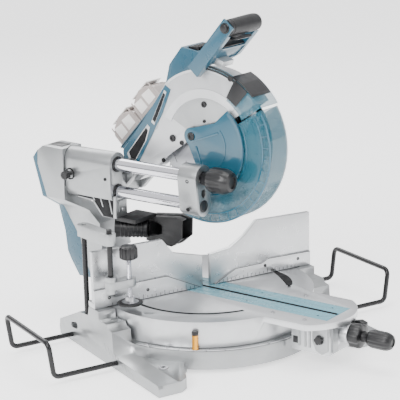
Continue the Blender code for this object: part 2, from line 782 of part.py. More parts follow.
def gear_housing():
    """Right-hand gear case: open towards the blade, screwed to the case by its rear foot."""
    body = hull((*ARBOR, 38), (*MOTOR, 44), (78, 402, 18), steps=24)
    inner = hull((*ARBOR, 33), (*MOTOR, 40), steps=24)
    made = slab("gear_housing", "x", body, 30.2, 52)
    join(made, rod("gear_foot", (24.3, 80, 401), (34, 80, 401), 13))
    return cut(
        made,
        slab("gear_hollow", "x", inner, 20, 46),
        rod("spindle_seat", along_x(ARBOR, 40), along_x(ARBOR, 60), 8.3),
        rod("rotor_seat", along_x(MOTOR, 40), along_x(MOTOR, 60), 16),
    )


def head_housing():
    """Main plastic body: battery rail behind the blade case and the motor can on the right."""
    rail = [
        BATTERY_START, (128, 488), (120, 503), (107, 551), (99, 561), (75, 590), (30, 583), (18, 574),
        (72, 527), (98, 470), (150, 381), (226, 352),
    ]
    made = slab("head_housing", "x", rail, 30.2, 104)
    join(
        made,
        rod("motor_can", along_x(MOTOR, 52.3), along_x(MOTOR, 150), 48, 24),
        slab("motor_web", "x", [(20, 400), (20, 480), (85, 530), (130, 430)], 60, 100),
    )
    return cut(
        made,
        rod("motor_bore", along_x(MOTOR, 40), along_x(MOTOR, 145), 43, 24),
        slab("louvre", "x", [(66, 592), (40, 592), (36, 574), (62, 576)], 36, 98),
    )


def stator():
    outline = circle(MOTOR, 42.5, 24)
    return slab("stator", "x", outline, 66, 130, [circle(MOTOR, 24, 24)])


def gear_outline(centre, teeth, radius, depth):
    """Shallow teeth cut inwards from the outer radius."""
    points = []
    for i in range(teeth):
        for share, radius_here in ((0.0, radius), (0.28, radius), (0.5, radius - depth), (0.78, radius - depth)):
            angle = 2 * math.pi * (i + share) / teeth
            points.append((centre[0] + radius_here * math.cos(angle), centre[1] + radius_here * math.sin(angle)))
    return points


def rotor():
    """Motor shaft with its core and the pinion that drives the blade gear."""
    pinion_radius = MODULE * PINION_TEETH / 2 - 0.2
    made = slab("rotor", "x", gear_outline(MOTOR, PINION_TEETH, pinion_radius, 2.2), 31, 44)
    return join(
        made,
        rod("rotor_shaft", along_x(MOTOR, 30.3), along_x(MOTOR, 140), 6, 16),
        rod("rotor_core", along_x(MOTOR, 68), along_x(MOTOR, 128), 23, 24),
    )


def spindle():
    made = rod("spindle", along_x(ARBOR, -8), along_x(ARBOR, 51), 8)
    return join(made, rod("inner_flange", along_x(ARBOR, 1.6), along_x(ARBOR, 6), 27))


def drive_gear():
    gear_radius = MODULE * DRIVE_TEETH / 2 - 0.2
    outline = gear_outline(ARBOR, DRIVE_TEETH, min(gear_radius, 32.6), 2.2)
    return slab("drive_gear", "x", outline, 32, 43, [circle(ARBOR, 8.3, 24)])


def saw_blade():
    """Disc with raked teeth."""
    teeth = 60
    points = []
    for i in range(teeth):
        for share, depth in ((0.0, 6.5), (0.35, 6.0), (0.93, 0.0)):
            angle = -2 * math.pi * (i + share) / teeth
            radius = BLADE_RADIUS - depth
            points.append((ARBOR[0] + radius * math.cos(angle), ARBOR[1] + radius * math.sin(angle)))
    return slab("saw_blade", "x", points, -1.2, 1.2, [circle(ARBOR, 8.3, 24)])


def outer_flange():
    return slab("outer_flange", "x", circle(ARBOR, 27, 24), -6, -1.5, [circle(ARBOR, 8.3, 24)])


def arbor_bolt():
    made = rod("arbor_bolt", along_x(ARBOR, -8.3), along_x(ARBOR, -12), 14)
    return join(made, rod("bolt_head", along_x(ARBOR, -11), along_x(ARBOR, -19), 9, 6))


def lower_guard():
    """Clear guard: a left plate, a right plate with its hub, and the rim that joins them."""
    start, end = 148, 295
    outer = arc(ARBOR, GUARD_RADIUS, start, end, 22)
    made = slab("lower_guard", "x", outer + arc(ARBOR, 62, end, start, 12), -GUARD_HALF, -27)
    hub = arc(ARBOR, 44, end, start + 360, 14)
    right = slab("guard_right", "x", outer + hub, 27, GUARD_HALF, [circle(ARBOR, 37, 24)])
    band = arc(ARBOR, GUARD_RADIUS - 0.4, start + 0.2, end - 0.2, 22)
    band += arc(ARBOR, GUARD_RADIUS - 3, end - 0.2, start + 0.2, 22)
    return join(made, right, slab("guard_rim", "x", band, -28.2, 28.2))


def handle_matrix():
    """The D-handle's own plane: across is the table's x, up runs from the head to the bar."""
    up = Vector((0, -0.66, 0.7513)).normalized()
    return plane_matrix((0, *BAR), (1, 0, 0), up)


def handle_frame():
    outline = [
        (-33, 8), (-44, 8), (-44, 12), (-49, 12), (-49, -122), (-33, -126), (-33, -92), (30.5, -92),
        (60, -78), (62, -24), (62, 8), (46, 8), (46, -48), (-33, -48),
    ]
    made = plate("handle_frame", outline, [], 28, handle_matrix())
    recess = [(-33, -52), (-33, -86), (46, -80), (52, -52)]
    recess_matrix = handle_matrix()
    recess_matrix.translation += Vector((0, -0.7513, -0.66)) * 0.016
    seat = plate("panel_recess", recess, [], 16, recess_matrix)
    cut(made, seat)
    return cut(
        made,
        rod("bar_bore", along_x(BAR, -44), along_x(BAR, 70), GRIP_RADIUS + GAP),
        rod("button_hole", along_x(BAR, -60), along_x(BAR, -43), 8.3, 16),
    )


def handle_grip():
    made = rod("handle_grip", along_x(BAR, -43.5), along_x(BAR, 60), GRIP_RADIUS)
    return made


def trigger():
    outline = arc(BAR, 27, 245, 320, 8) + arc(BAR, 21, 320, 245, 8)
    return slab("trigger", "x", outline, -22, 26)


def lock_off_button():
    return rod("lock_off_button", along_x(BAR, -47.2), along_x(BAR, -55), 8, 16)


def battery(name, start):
    """Battery pack in side view, along the rail and outwards from it."""
    profile = [(0, GAP), (0, 30), (14, 42), (42, 51), (62, 45), (78, 30), (80, GAP)]
    origin = Vector(BATTERY_START)
    outline = [tuple(origin + BATTERY_ALONG * (start + a) + BATTERY_OUT * n) for a, n in profile]
    return slab(name, "x", outline, 38, 101)


# Assembly


def assemble():
    base = Frame("base_frame")
    for made, finish in (
        (base_casting(), CAST),
        (mitre_scale_plate(), MACHINED),
        (pivot_bolt(), STEEL),
        (mitre_stop_pin(), AMBER),
    ):
        base.hang(made, finish)
    strips = {
        "right": [(20, 100.3), (20, 101.5), (72, 126), (136, 126), (152, 133.5), (260, 131), (260, 100.3)],
        "left": [(-17, 100.3), (-17, 103), (-94, 140), (-260, 140), (-260, 100.3)],
    }
    tops = {
        "right": [(11, 166), (60, 172), (95, 192), (125, 220), (260, 217)],
        "left": [(-8, 167), (-39, 175), (-76, 185), (-101, 217), (-260, 218)],
    }
    for side, word in ((-1, "left"), (1, "right")):
        base.hang(lower_fence(side, word + "_lower_fence", strips[word]), CAST)
        slide = Frame(word + "_fence_slide", (side * CLAMP_X, 8, CLAMP_Z), base)
        slide.hang(sub_fence(side, word + "_sub_fence", tops[word]), MACHINED)
        clamp = Frame(word + "_clamp_axis", (side * CLAMP_X, 20, CLAMP_Z), base)
        clamp.hang(fence_clamp(side, word + "_fence_clamp"), BLACK)
        wire_slide = Frame(word + "_holder_slide", (side * 260, 0, HOLDER_Z), base)
        wire_slide.hang(holder(side, word + "_holder"), COATED)
        screw = Frame(word + "_screw_axis", (side * 228, HOLDER_REAR_Y, 25), base)
        screw.hang(holder_screw(side, word + "_holder_screw"), STEEL)

    swivel = Frame("vise_swivel_axis", (*VISE_POST, 80), base)
    swivel.hang(vise_post(), COATED)
    swivel.hang(vise_upper_arm(), CAST)
    swivel.hang(vise_drop_rod(), COATED)
    drop = Frame("vise_height_slide", (*VISE_DROP, 158), swivel)
    drop.hang(vise_lower_arm(), CAST)
    screw_down = Frame("vise_spindle_axis", (*VISE_SPINDLE, 158), drop)
    screw_down.hang(vise_spindle(), CHROME)
    screw_down.hang(vise_pad(), STEEL)
    screw_down.hang(vise_knob(), BLACK)

    table = Frame("mitre_axis", (0, 0, 0), base, MITRE_DEG)
    table.hang(turntable(), CAST)
    table.hang(kerf_board(-1, "left_kerf_board"), BOARD)
    table.hang(kerf_board(1, "right_kerf_board"), BOARD)
    lock = Frame("mitre_lock_axis", (0, -348, 66), table)
    lock.hang(mitre_lock_rod(), STEEL)
    lock.hang(mitre_grip(), BLACK)
    detent = Frame("detent_axis", (33, -334, 72), table)
    detent.hang(detent_lever(), BLACK)

    bevel = Frame("bevel_axis", (0, 250, BEVEL_AXIS_Z), table)
    for made, finish in (
        (bevel_arm(), CAST),
        (arm_rear_cover(), TEAL),
        (upper_rail(), CHROME),
        (lower_rail(), CHROME),
        (rail_bracket(), MACHINED),
        (bevel_shaft(), STEEL),
    ):
        bevel.hang(made, finish)
    bevel_lock = Frame("bevel_lock_axis", (RAIL_X, -53, UPPER_RAIL_Z), bevel)
    bevel_lock.hang(bevel_lock_rod(), STEEL)
    bevel_lock.hang(bevel_lock_grip(), BLACK)

    slide = Frame("slide_axis", (RAIL_X, 228, 326), bevel)
    for made, finish in (
        (carriage(), CAST),
        (chop_pivot_pin(), STEEL),
        (return_spring(), STEEL),
        (dust_nozzle(), RUBBER),
        (dust_pipe(), BLACK),
    ):
        slide.hang(made, finish)
    slide_lock = Frame("slide_lock_axis", (-110, 276, 325.5), slide)
    slide_lock.hang(slide_lock_knob(), BLACK)

    head = Frame("chop_axis", along_x(PIVOT), slide)
    for made, finish in (
        (blade_case(), SILVER),
        (case_front_shield(), GUARD_CLEAR),
        (gear_housing(), CAST),
        (head_housing(), TEAL),
        (stator(), STEEL),
        (handle_frame(), TEAL),
        (handle_grip(), RUBBER),
    ):
        head.hang(made, finish)
    arbor = Frame("arbor_axis", along_x(ARBOR), head)
    for made, finish in (
        (saw_blade(), STEEL),
        (spindle(), STEEL),
        (drive_gear(), STEEL),
        (outer_flange(), STEEL),
        (arbor_bolt(), STEEL),
    ):
        arbor.hang(made, finish)
    guard = Frame("guard_axis", along_x(ARBOR, 28), head)
    guard.hang(lower_guard(), GUARD_CLEAR)
    guard.hang(centre_cover(), TEAL)
    motor = Frame("motor_axis", along_x(MOTOR), head)
    motor.hang(rotor(), STEEL)
    pull = Frame("trigger_axis", (0, BAR[0] + 18.4, BAR[1] - 15.4), head)
    pull.hang(trigger(), BLACK)
    button = Frame("lock_off_axis", along_x(BAR, -52), head)
    button.hang(lock_off_button(), BLACK)
    for name, start in (("lower_battery", 0), ("upper_battery", 83)):
        dock = Frame(name + "_slide", along_x(BATTERY_START, 70), head)
        dock.hang(battery(name, start), CELL)


assemble()
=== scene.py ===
"""Looks for the slide mitre saw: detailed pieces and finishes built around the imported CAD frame.

Drawings are in millimetres, in one of two frames that share the mitre axis at bench level:
- BENCH: the row frame, +X to the operator's right and +Z up;
- TABLE: turned with the mitre table, so that -Y runs down the kerf.
"""

import json
import math

import bmesh
import bpy
from mathutils import Matrix, Vector


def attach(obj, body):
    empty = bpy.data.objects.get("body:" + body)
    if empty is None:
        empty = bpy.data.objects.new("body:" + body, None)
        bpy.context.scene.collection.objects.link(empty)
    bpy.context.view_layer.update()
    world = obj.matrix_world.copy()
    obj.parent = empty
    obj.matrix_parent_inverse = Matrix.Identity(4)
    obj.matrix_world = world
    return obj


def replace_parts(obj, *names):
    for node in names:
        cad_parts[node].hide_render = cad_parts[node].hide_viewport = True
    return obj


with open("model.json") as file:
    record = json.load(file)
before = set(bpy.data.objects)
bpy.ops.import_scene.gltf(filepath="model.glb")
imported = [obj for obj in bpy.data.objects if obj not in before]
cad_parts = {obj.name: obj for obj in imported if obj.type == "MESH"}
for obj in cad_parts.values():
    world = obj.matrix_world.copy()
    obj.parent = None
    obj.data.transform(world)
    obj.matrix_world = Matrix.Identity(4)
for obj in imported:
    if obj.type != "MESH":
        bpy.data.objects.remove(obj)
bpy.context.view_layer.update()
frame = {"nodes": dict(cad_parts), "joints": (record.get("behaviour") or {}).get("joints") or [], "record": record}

MM = 0.001
JOINTS = {joint["name"]: joint for joint in frame["joints"]}
BODIES = frame["record"]["behaviour"]["bodies"]
BODY = {node: body for body, nodes in BODIES.items() for node in nodes}
SLOT = {part["node"]: part["material_slot"] for part in frame["record"]["subparts"]}

BENCH = Matrix.Scale(MM, 4)
REAR = -Vector(JOINTS["slide"]["axis"])
UP = Vector((0, 0, 1))
TABLE = Matrix((REAR.cross(UP), REAR, UP)).transposed().to_4x4() @ Matrix.Scale(MM, 4)


def joint_point(name):
    """The (y, z) of a crosswise joint axis in the table frame."""
    point = TABLE.inverted() @ Vector(JOINTS[name]["pos_m"])
    return point.y, point.z


def span(node, place):
    """Lowest and highest corner of a CAD node in a drawing frame."""
    back = place.inverted()
    points = [back @ vert.co for vert in frame["nodes"][node].data.vertices]
    return [Vector([pick(p[i] for p in points) for i in range(3)]) for pick in (min, max)]


ARBOR = joint_point("blade_spin")
MOTOR = joint_point("rotor_spin")


# Materials


def material(
    name, colour, roughness, metallic=0.0, mottle=0.08, grain=1500.0, bump=0.1, pattern=None, **sockets
):
    """A Principled finish with broad colour variation, uneven gloss and a fine surface texture."""
    made = bpy.data.materials.new(name)
    made.use_nodes = True
    nodes = made.node_tree.nodes
    links = made.node_tree.links
    shader = nodes["Principled BSDF"]
    shader.inputs["Metallic"].default_value = metallic
    for socket, value in sockets.items():
        shader.inputs[socket.replace("_", " ")].default_value = value
    place = nodes.new("ShaderNodeTexCoord").outputs["Object"]

    def noise(scale, detail=3.0):
        texture = nodes.new("ShaderNodeTexNoise")
        texture.inputs["Scale"].default_value = scale
        texture.inputs["Detail"].default_value = detail
        links.new(place, texture.inputs["Vector"])
        return texture.outputs["Fac"]

    broad = noise(22.0)
    mix = nodes.new("ShaderNodeMix")
    mix.data_type = "RGBA"
    mix.inputs[6].default_value = (*[c * (1 - mottle) for c in colour], 1.0)
    mix.inputs[7].default_value = (*[min(1.0, c * (1 + mottle)) for c in colour], 1.0)
    links.new(broad, mix.inputs[0])
    links.new(mix.outputs[2], shader.inputs["Base Color"])
    gloss = nodes.new("ShaderNodeMapRange")
    gloss.inputs["From Min"].default_value = 0.3
    gloss.inputs["From Max"].default_value = 0.7
    gloss.inputs["To Min"].default_value = roughness * 0.85
    gloss.inputs["To Max"].default_value = min(1.0, roughness * 1.2)
    links.new(noise(60.0), gloss.inputs["Value"])
    links.new(gloss.outputs["Result"], shader.inputs["Roughness"])
    height = noise(grain)
    if pattern:
        wave = nodes.new("ShaderNodeTexWave")
        wave.wave_type = pattern[0]
        if pattern[0] == "RINGS":
            wave.rings_direction = "Z"
        else:
            wave.bands_direction = pattern[1]
        wave.inputs["Scale"].default_value = pattern[2]
        wave.inputs["Distortion"].default_value = 0.4
        wave.inputs["Detail"].default_value = 1.0
        links.new(place, wave.inputs["Vector"])
        height = wave.outputs["Fac"]
    relief = nodes.new("ShaderNodeBump")
    relief.inputs["Strength"].default_value = bump
    relief.inputs["Distance"].default_value = 0.00008
    links.new(height, relief.inputs["Height"])
    links.new(relief.outputs["Normal"], shader.inputs["Normal"])
    return made


CAST = material("cast_aluminium", (0.37, 0.38, 0.385), 0.34, 0.9, mottle=0.07, grain=1400.0, bump=0.22)
MILLING = ("BANDS", "Z", 160.0)
TURNING = ("RINGS", "Z", 90.0)
GRINDING = ("BANDS", "DIAGONAL", 260.0)
MACHINED = material(
    "milled_aluminium", (0.56, 0.57, 0.58), 0.30, 0.95, mottle=0.04, bump=0.03, pattern=MILLING,
)
TURNED = material("turned_aluminium", (0.60, 0.61, 0.62), 0.33, 0.95, mottle=0.04, bump=0.03, pattern=TURNING)
CHROME = material("ground_chrome", (0.72, 0.72, 0.76), 0.10, 1.0, mottle=0.03, grain=3000.0, bump=0.02)
STEEL = material("bright_steel", (0.50, 0.50, 0.52), 0.30, 1.0, grain=2500.0, bump=0.12)
BLADE = material("ground_blade", (0.42, 0.43, 0.45), 0.30, 1.0, bump=0.04, pattern=GRINDING)
COATED = material("black_oxide", (0.010, 0.010, 0.011), 0.26, 0.3, grain=2200.0, bump=0.15)
BLACK = material("black_moulding", (0.006, 0.006, 0.007), 0.34, grain=2600.0, bump=0.25)
RUBBER = material("black_rubber", (0.006, 0.006, 0.007), 0.50, grain=1800.0, bump=0.35)
TEAL = material("teal_moulding", (0.022, 0.088, 0.135), 0.30, grain=2400.0, bump=0.14, Coat_Weight=0.25)
SILVER = material(
    "silver_paint", (0.60, 0.61, 0.62), 0.34, 0.45, mottle=0.03, grain=2800.0, bump=0.08, Coat_Weight=0.3,
)
GUARD = material("clear_teal", (0.030, 0.150, 0.210), 0.06, mottle=0.06, grain=40.0, bump=0.01, Alpha=0.46)
COVER = material(
    "teal_cover", (0.020, 0.092, 0.140), 0.18, mottle=0.08, grain=600.0, bump=0.03, Coat_Weight=0.4,
)
BOARD = material("kerf_board", (0.12, 0.31, 0.38), 0.26, grain=1800.0, bump=0.08)
AMBER = material("amber_brass", (0.80, 0.36, 0.03), 0.14, 0.55, grain=900.0, bump=0.05)
CELL = material("milky_plastic", (0.42, 0.37, 0.35), 0.24, mottle=0.05, grain=1200.0, bump=0.05, Alpha=0.92)
PALE = material(
    "pale_window", (0.80, 0.78, 0.76), 0.18, mottle=0.04, grain=1200.0, bump=0.03, Coat_Weight=0.5,
)
INK = material("black_ink", (0.015, 0.015, 0.016), 0.55, mottle=0.02, bump=0.05)
# Near-black used as painted shade in vents, the kerf slot, the arc grooves and under the carriage, and as the real
# dark of seams, fence joints and blade cuts.
SHADE_AND_SEAM_BLACK = material("painted_shade_and_seams", (0.004, 0.004, 0.005), 0.80, mottle=0.02, bump=0.05)

FINISH = {
    "cast_aluminium": CAST,
    "machined_aluminium": MACHINED,
    "chromed_steel": CHROME,
    "steel": STEEL,
    "black_coated_steel": COATED,
    "black_plastic": BLACK,
    "rubber": RUBBER,
    "teal_plastic": TEAL,
    "silver_paint": SILVER,
    "clear_teal": GUARD,
    "kerf_board_blue": BOARD,
    "amber_brass": AMBER,
    "battery_plastic": CELL,
}


# Shapes, drawn into a bmesh in millimetres


def arc(centre, radius, start_deg, end_deg, steps=24):
    turns = [math.radians(start_deg + (end_deg - start_deg) * i / steps) for i in range(steps + 1)]
    return [(centre[0] + radius * math.cos(t), centre[1] + radius * math.sin(t)) for t in turns]


def band(centre, inner, outer, start_deg, end_deg, steps=32):
    """Outline of a piece of a ring."""
    return arc(centre, outer, start_deg, end_deg, steps) + arc(centre, inner, end_deg, start_deg, steps)


def hexagon(angle):
    return math.cos(math.radians(30)) / math.cos(angle % math.radians(60) - math.radians(30))


def lobes(count, depth):
    return lambda angle: 1 - depth * (0.5 + 0.5 * math.cos(count * angle)) ** 2


def lathe(shape, profile, start, direction, steps=48):
    """Turn (radius, distance) pairs around a line.

    A third value in a pair is a function of the angle that scales its radius.
    """
    turned = Vector(direction).to_track_quat("Z", "Y").to_matrix()
    rings = []
    for radius, distance, *scaled in profile:
        row = []
        for i in range(steps if radius else 1):
            angle = 2 * math.pi * i / steps
            here = radius * scaled[0](angle) if scaled else radius
            offset = Vector((here * math.cos(angle), here * math.sin(angle), distance))
            row.append(shape.verts.new(Vector(start) + turned @ offset))
        rings.append(row)
    following = rings[1:] + (rings[:1] if profile[0][0] else [])
    for one, two in zip(rings, following):
        for i in range(steps):
            j = (i + 1) % steps
            corners = [one[i % len(one)], one[j % len(one)], two[j % len(two)], two[i % len(two)]]
            shape.faces.new(list(dict.fromkeys(corners)))


ORDERS = {
    "x": lambda a, b, level: (level, a, b),
    "y": lambda a, b, level: (a, level, b),
    "z": lambda a, b, level: (a, b, level),
}


def prism(shape, outline, low, high, axis="x", round_off=0.0):
    """An outline between two levels of an axis; it is drawn in the other two axes, in x, y, z order."""
    order = ORDERS[axis]
    bottom = [shape.verts.new(order(a, b, low)) for a, b in outline]
    top = [shape.verts.new(order(a, b, high)) for a, b in outline]
    faces = [shape.faces.new(bottom[::-1]), shape.faces.new(top)]
    for i in range(len(outline)):
        j = (i + 1) % len(outline)
        faces.append(shape.faces.new((bottom[i], bottom[j], top[j], top[i])))
    if round_off:
        edges = {edge for face in faces[:2] for edge in face.edges}
        bmesh.ops.bevel(shape, geom=list(edges), offset=round_off, segments=2, profile=0.5, affect="EDGES")


def brick(shape, low, high, round_off=0.0):
    outline = [(low[0], low[1]), (high[0], low[1]), (high[0], high[1]), (low[0], high[1])]
    prism(shape, outline, low[2], high[2], "z", round_off)


def screw(shape, centre, direction, radius):
    """A low cap head with a hexagon recess."""
    high = min(radius * 0.7, 2.4)
    profile = [
        (0, 0), (radius, 0), (radius, high * 0.7), (radius * 0.88, high), (radius * 0.5, high, hexagon),
        (radius * 0.46, high * 0.4, hexagon), (0, high * 0.3),
    ]
    lathe(shape, profile, centre, direction, 24)


def publish(name, shape, place, like, finish=None, sharp_deg=35.0):
    """Make the drawing a piece that rides with a CAD node."""
    bmesh.ops.recalc_face_normals(shape, faces=shape.faces)
    mesh = bpy.data.meshes.new(name)
    shape.to_mesh(mesh)
    shape.free()
    mesh.transform(place)
    mesh.shade_smooth()
    mesh.set_sharp_from_angle(angle=math.radians(sharp_deg))
    obj = bpy.data.objects.new(name, mesh)
    bpy.context.scene.collection.objects.link(obj)
    mesh.materials.append(finish or FINISH[SLOT[like]])
    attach(obj, BODY[like])
    return obj


WELD = 0.002 * MM
FLAT = math.radians(0.6)
SHARP = math.radians(30)


def refine(node, width, finish=None):
    """Stand a copy of a CAD node in its place, with its edges rounded and its curves shaded smooth."""
    shape = bmesh.new()
    shape.from_mesh(frame["nodes"][node].data)
    bmesh.ops.remove_doubles(shape, verts=shape.verts, dist=WELD)
    bmesh.ops.dissolve_limit(shape, angle_limit=FLAT, verts=shape.verts, edges=shape.edges)
    sharp = [
        edge for edge in shape.edges
        if edge.is_manifold and edge.is_convex and edge.calc_face_angle(0.0) > SHARP
    ]
    if width:
        bmesh.ops.bevel(
            shape, geom=sharp, offset=width * MM, segments=2, profile=0.6, affect="EDGES", clamp_overlap=True,
        )
    obj = publish(node + "_finished", shape, Matrix.Identity(4), node, finish, 40.0)
    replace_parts(obj, node)
    return obj


EDGE_WIDTHS = {
    "base_casting": 1.6, "turntable": 1.0, "bevel_arm": 3.0, "arm_rear_cover": 4.0, "carriage": 2.0,
    "blade_case": 2.0, "head_housing": 3.0, "handle_frame": 3.0, "gear_housing": 2.0, "rail_bracket": 2.5,
    "vise_upper_arm": 2.5, "vise_lower_arm": 2.5, "left_fence_clamp": 1.5, "right_fence_clamp": 1.5,
    "detent_lever": 2.0, "trigger": 1.2, "dust_nozzle": 2.0, "lower_battery": 4.0, "upper_battery": 4.0,
    "centre_cover": 0.8, "case_front_shield": 1.0, "lock_off_button": 1.5, "left_sub_fence": 0.6,
    "right_sub_fence": 0.6, "saw_blade": 0.0, "lower_guard": 0.4, "return_spring": 0.0, "drive_gear": 0.0,
    "rotor": 0.0, "mitre_scale_plate": 0.2,
}
SPECIAL_FINISH = {
    "turntable": TURNED, "mitre_scale_plate": TURNED, "saw_blade": BLADE, "centre_cover": COVER,
    "left_lower_fence": MACHINED, "right_lower_fence": MACHINED, "rail_bracket": CAST,
}
REBUILT = {
    "left_holder", "right_holder", "mitre_grip", "bevel_lock_grip", "vise_knob", "vise_pad", "vise_spindle",
    "mitre_stop_pin", "upper_rail", "lower_rail", "handle_grip", "dust_pipe", "slide_lock_knob",
}


def refine_the_rest():
    for node in sorted(set(BODY) - REBUILT):
        refine(node, EDGE_WIDTHS.get(node, 0.5), SPECIAL_FINISH.get(node))


# Grips and knobs


def mitre_grip():
    low, high = span("mitre_grip", TABLE)
    start = (0, high.y, (low.z + high.z) / 2)
    star = lobes(5, 0.16)
    ribs = lobes(14, 0.05)
    shape = bmesh.new()
    collar = [
        (0, 0), (21, 0, star), (24.5, 3, star), (25, 6, star), (25, 21, star), (23, 25, star), (15, 27),
        (0, 27),
    ]
    lathe(shape, collar, start, (0, -1, 0), 80)
    grip = [
        (0, 26), (11, 26), (10, 34), (11, 38), (15.5, 41, ribs), (17.8, 46, ribs), (18.3, 52, ribs),
        (18.3, 76, ribs), (17, 83, ribs), (14, 88.5), (11.5, 90.5), (8, 91.6), (7.4, 89.5), (0, 89.5),
    ]
    lathe(shape, grip, start, (0, -1, 0), 112)
    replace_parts(publish("mitre_grip_moulding", shape, TABLE, "mitre_grip"), "mitre_grip")


def bevel_lock_grip():
    low, high = span("bevel_lock_grip", TABLE)
    start = ((low.x + high.x) / 2, high.y, (low.z + high.z) / 2)
    ribs = lobes(12, 0.05)
    profile = [
        (0, 0), (12, 0), (13.5, 2), (14, 8), (17, 13), (20, 15.5, ribs), (24, 21, ribs), (25.4, 26, ribs),
        (25.4, 52, ribs), (24, 58), (21, 64), (19, 68), (15, 70), (12, 70.6), (11, 67), (0, 67),
    ]
    shape = bmesh.new()
    lathe(shape, profile, start, (0, -1, 0), 96)
    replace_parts(publish("bevel_lock_moulding", shape, TABLE, "bevel_lock_grip"), "bevel_lock_grip")


def vise_knob():
    low, high = span("vise_knob", BENCH)
    start = ((low.x + high.x) / 2, (low.y + high.y) / 2, low.z)
    ribs = lobes(9, 0.13)
    profile = [
        (0, 0), (14, 0), (17.6, 2, ribs), (18.5, 5, ribs), (18.5, 21, ribs), (17, 24.5, ribs), (13, 26.5),
        (0, 27),
    ]
    shape = bmesh.new()
    lathe(shape, profile, start, (0, 0, 1), 90)
    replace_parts(publish("vise_knob_moulding", shape, BENCH, "vise_knob"), "vise_knob")


def vise_spindle():
    """Screw thread as close rings."""
    low, high = span("vise_spindle", BENCH)
    start = ((low.x + high.x) / 2, (low.y + high.y) / 2, low.z)
    pitch = 1.5
    rings = int((high.z - low.z - 10) / pitch)
    profile = [(0, 0), (4.6, 0)]
    for i in range(rings):
        profile += [(4.5, 5 + pitch * i), (5, 5 + pitch * (i + 0.5))]
    profile += [(4.6, high.z - low.z), (0, high.z - low.z)]
    shape = bmesh.new()
    lathe(shape, profile, start, (0, 0, 1), 24)
    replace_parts(publish("vise_spindle_thread", shape, BENCH, "vise_spindle"), "vise_spindle")


def vise_pad():
    low, high = span("vise_pad", BENCH)
    middle = ((low.x + high.x) / 2, (low.y + high.y) / 2, low.z)
    shape = bmesh.new()
    lathe(shape, [(17, 0.2), (24, 0.2), (25, 1.5), (25, 4), (22, 5.6), (17, 5.6)], middle, (0, 0, 1), 64)
    publish("vise_pad_rubber", shape, BENCH, "vise_pad", RUBBER)
    shape = bmesh.new()
    dish = [(0, 0.8), (17.2, 0.8), (17.2, 5), (14, 6), (10.5, 8), (9.2, 15.5), (5.6, 16), (5.4, 8), (0, 7.5)]
    lathe(shape, dish, middle, (0, 0, 1), 64)
    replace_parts(publish("vise_pad_dish", shape, BENCH, "vise_pad"), "vise_pad")


def stop_pin():
    low, high = span("mitre_stop_pin", BENCH)
    start = ((low.x + high.x) / 2, (low.y + high.y) / 2, low.z)
    shape = bmesh.new()
    lathe(shape, [(0, 0), (6, 0), (6.5, 1), (6.1, 5), (6.0, 27), (6.3, 29), (0, 29)], start, (0, 0, 1), 40)
    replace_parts(publish("stop_pin_body", shape, BENCH, "mitre_stop_pin"), "mitre_stop_pin")
    shape = bmesh.new()
    cap = [(0, 28.5), (6, 28.5), (6.6, 30), (6.6, 35, lobes(8, 0.08)), (5.6, 37.3), (0, 37.5)]
    lathe(shape, cap, start, (0, 0, 1), 48)
    publish("stop_pin_cap", shape, BENCH, "mitre_stop_pin", BLACK)


def slide_lock_knob():
    low, high = span("slide_lock_knob", TABLE)
    start = (low.x, (low.y + high.y) / 2, (low.z + high.z) / 2)
    ribs = lobes(6, 0.14)
    profile = [
        (0, 1), (4, 1), (5, 0), (8, 0.2), (9.2, 2, ribs), (9.5, 5, ribs), (9.3, 13, ribs), (6, 16), (4, 17),
        (3, 39), (0, 40),
    ]
    shape = bmesh.new()
    lathe(shape, profile, start, (1, 0, 0), 60)
    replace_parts(publish("slide_lock_moulding", shape, TABLE, "slide_lock_knob"), "slide_lock_knob")


def handle_grip():
    """Rubber over-mould that swells towards its rounded right end."""
    low, high = span("handle_grip", TABLE)
    middle = (low.x, (low.y + high.y) / 2, (low.z + high.z) / 2)
    length = high.x - low.x
    profile = [
        (0, 0.2), (14.5, 0.2), (15.6, 1.5), (15.8, 6), (15.2, 7), (15.2, 8.5), (16.0, 9.5), (16.4, 30),
        (17.1, 55), (17.5, 75), (17.4, length - 14), (16.4, length - 7), (13, length - 2.4),
        (7, length - 0.4), (0, length),
    ]
    shape = bmesh.new()
    lathe(shape, profile, middle, (1, 0, 0), 64)
    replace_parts(publish("handle_overmould", shape, TABLE, "handle_grip"), "handle_grip")


# Rails, pipe and wire holders


def rails():
    for node, bore in (("upper_rail", 6.8), ("lower_rail", 0.0)):
        low, high = span(node, TABLE)
        radius = (high.x - low.x) / 2
        length = high.y - low.y
        start = ((low.x + high.x) / 2, low.y, (low.z + high.z) / 2)
        outside = [(radius - 1, 0), (radius, 1), (radius, length - 1), (radius - 1, length)]
        profile = [(bore, 0), *outside, (bore, length)]
        shape = bmesh.new()
        lathe(shape, profile, start, (0, 1, 0), 72)
        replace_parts(publish(node + "_ground", shape, TABLE, node), node)


def dust_pipe():
    """Straight corrugated pipe from the nozzle back towards the arm."""
    start = Vector((-26, 130, 212))
    end = Vector((-62, 189, 213))
    length = (end - start).length
    bore, valley, ridge, pitch = 18, 19.6, 20.8, 8
    profile = [(bore, 0.5), (20.6, 0.5)]
    for i in range(7):
        at = 5 + i * pitch
        profile += [(ridge, at), (ridge, at + 3), (valley, at + 4), (valley, at + 6.5)]
    profile += [(ridge, length - 3), (ridge, length - 0.2), (bore, length - 0.2)]
    shape = bmesh.new()
    lathe(shape, profile, start, end - start, 56)
    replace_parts(publish("dust_pipe_ribbed", shape, TABLE, "dust_pipe"), "dust_pipe")


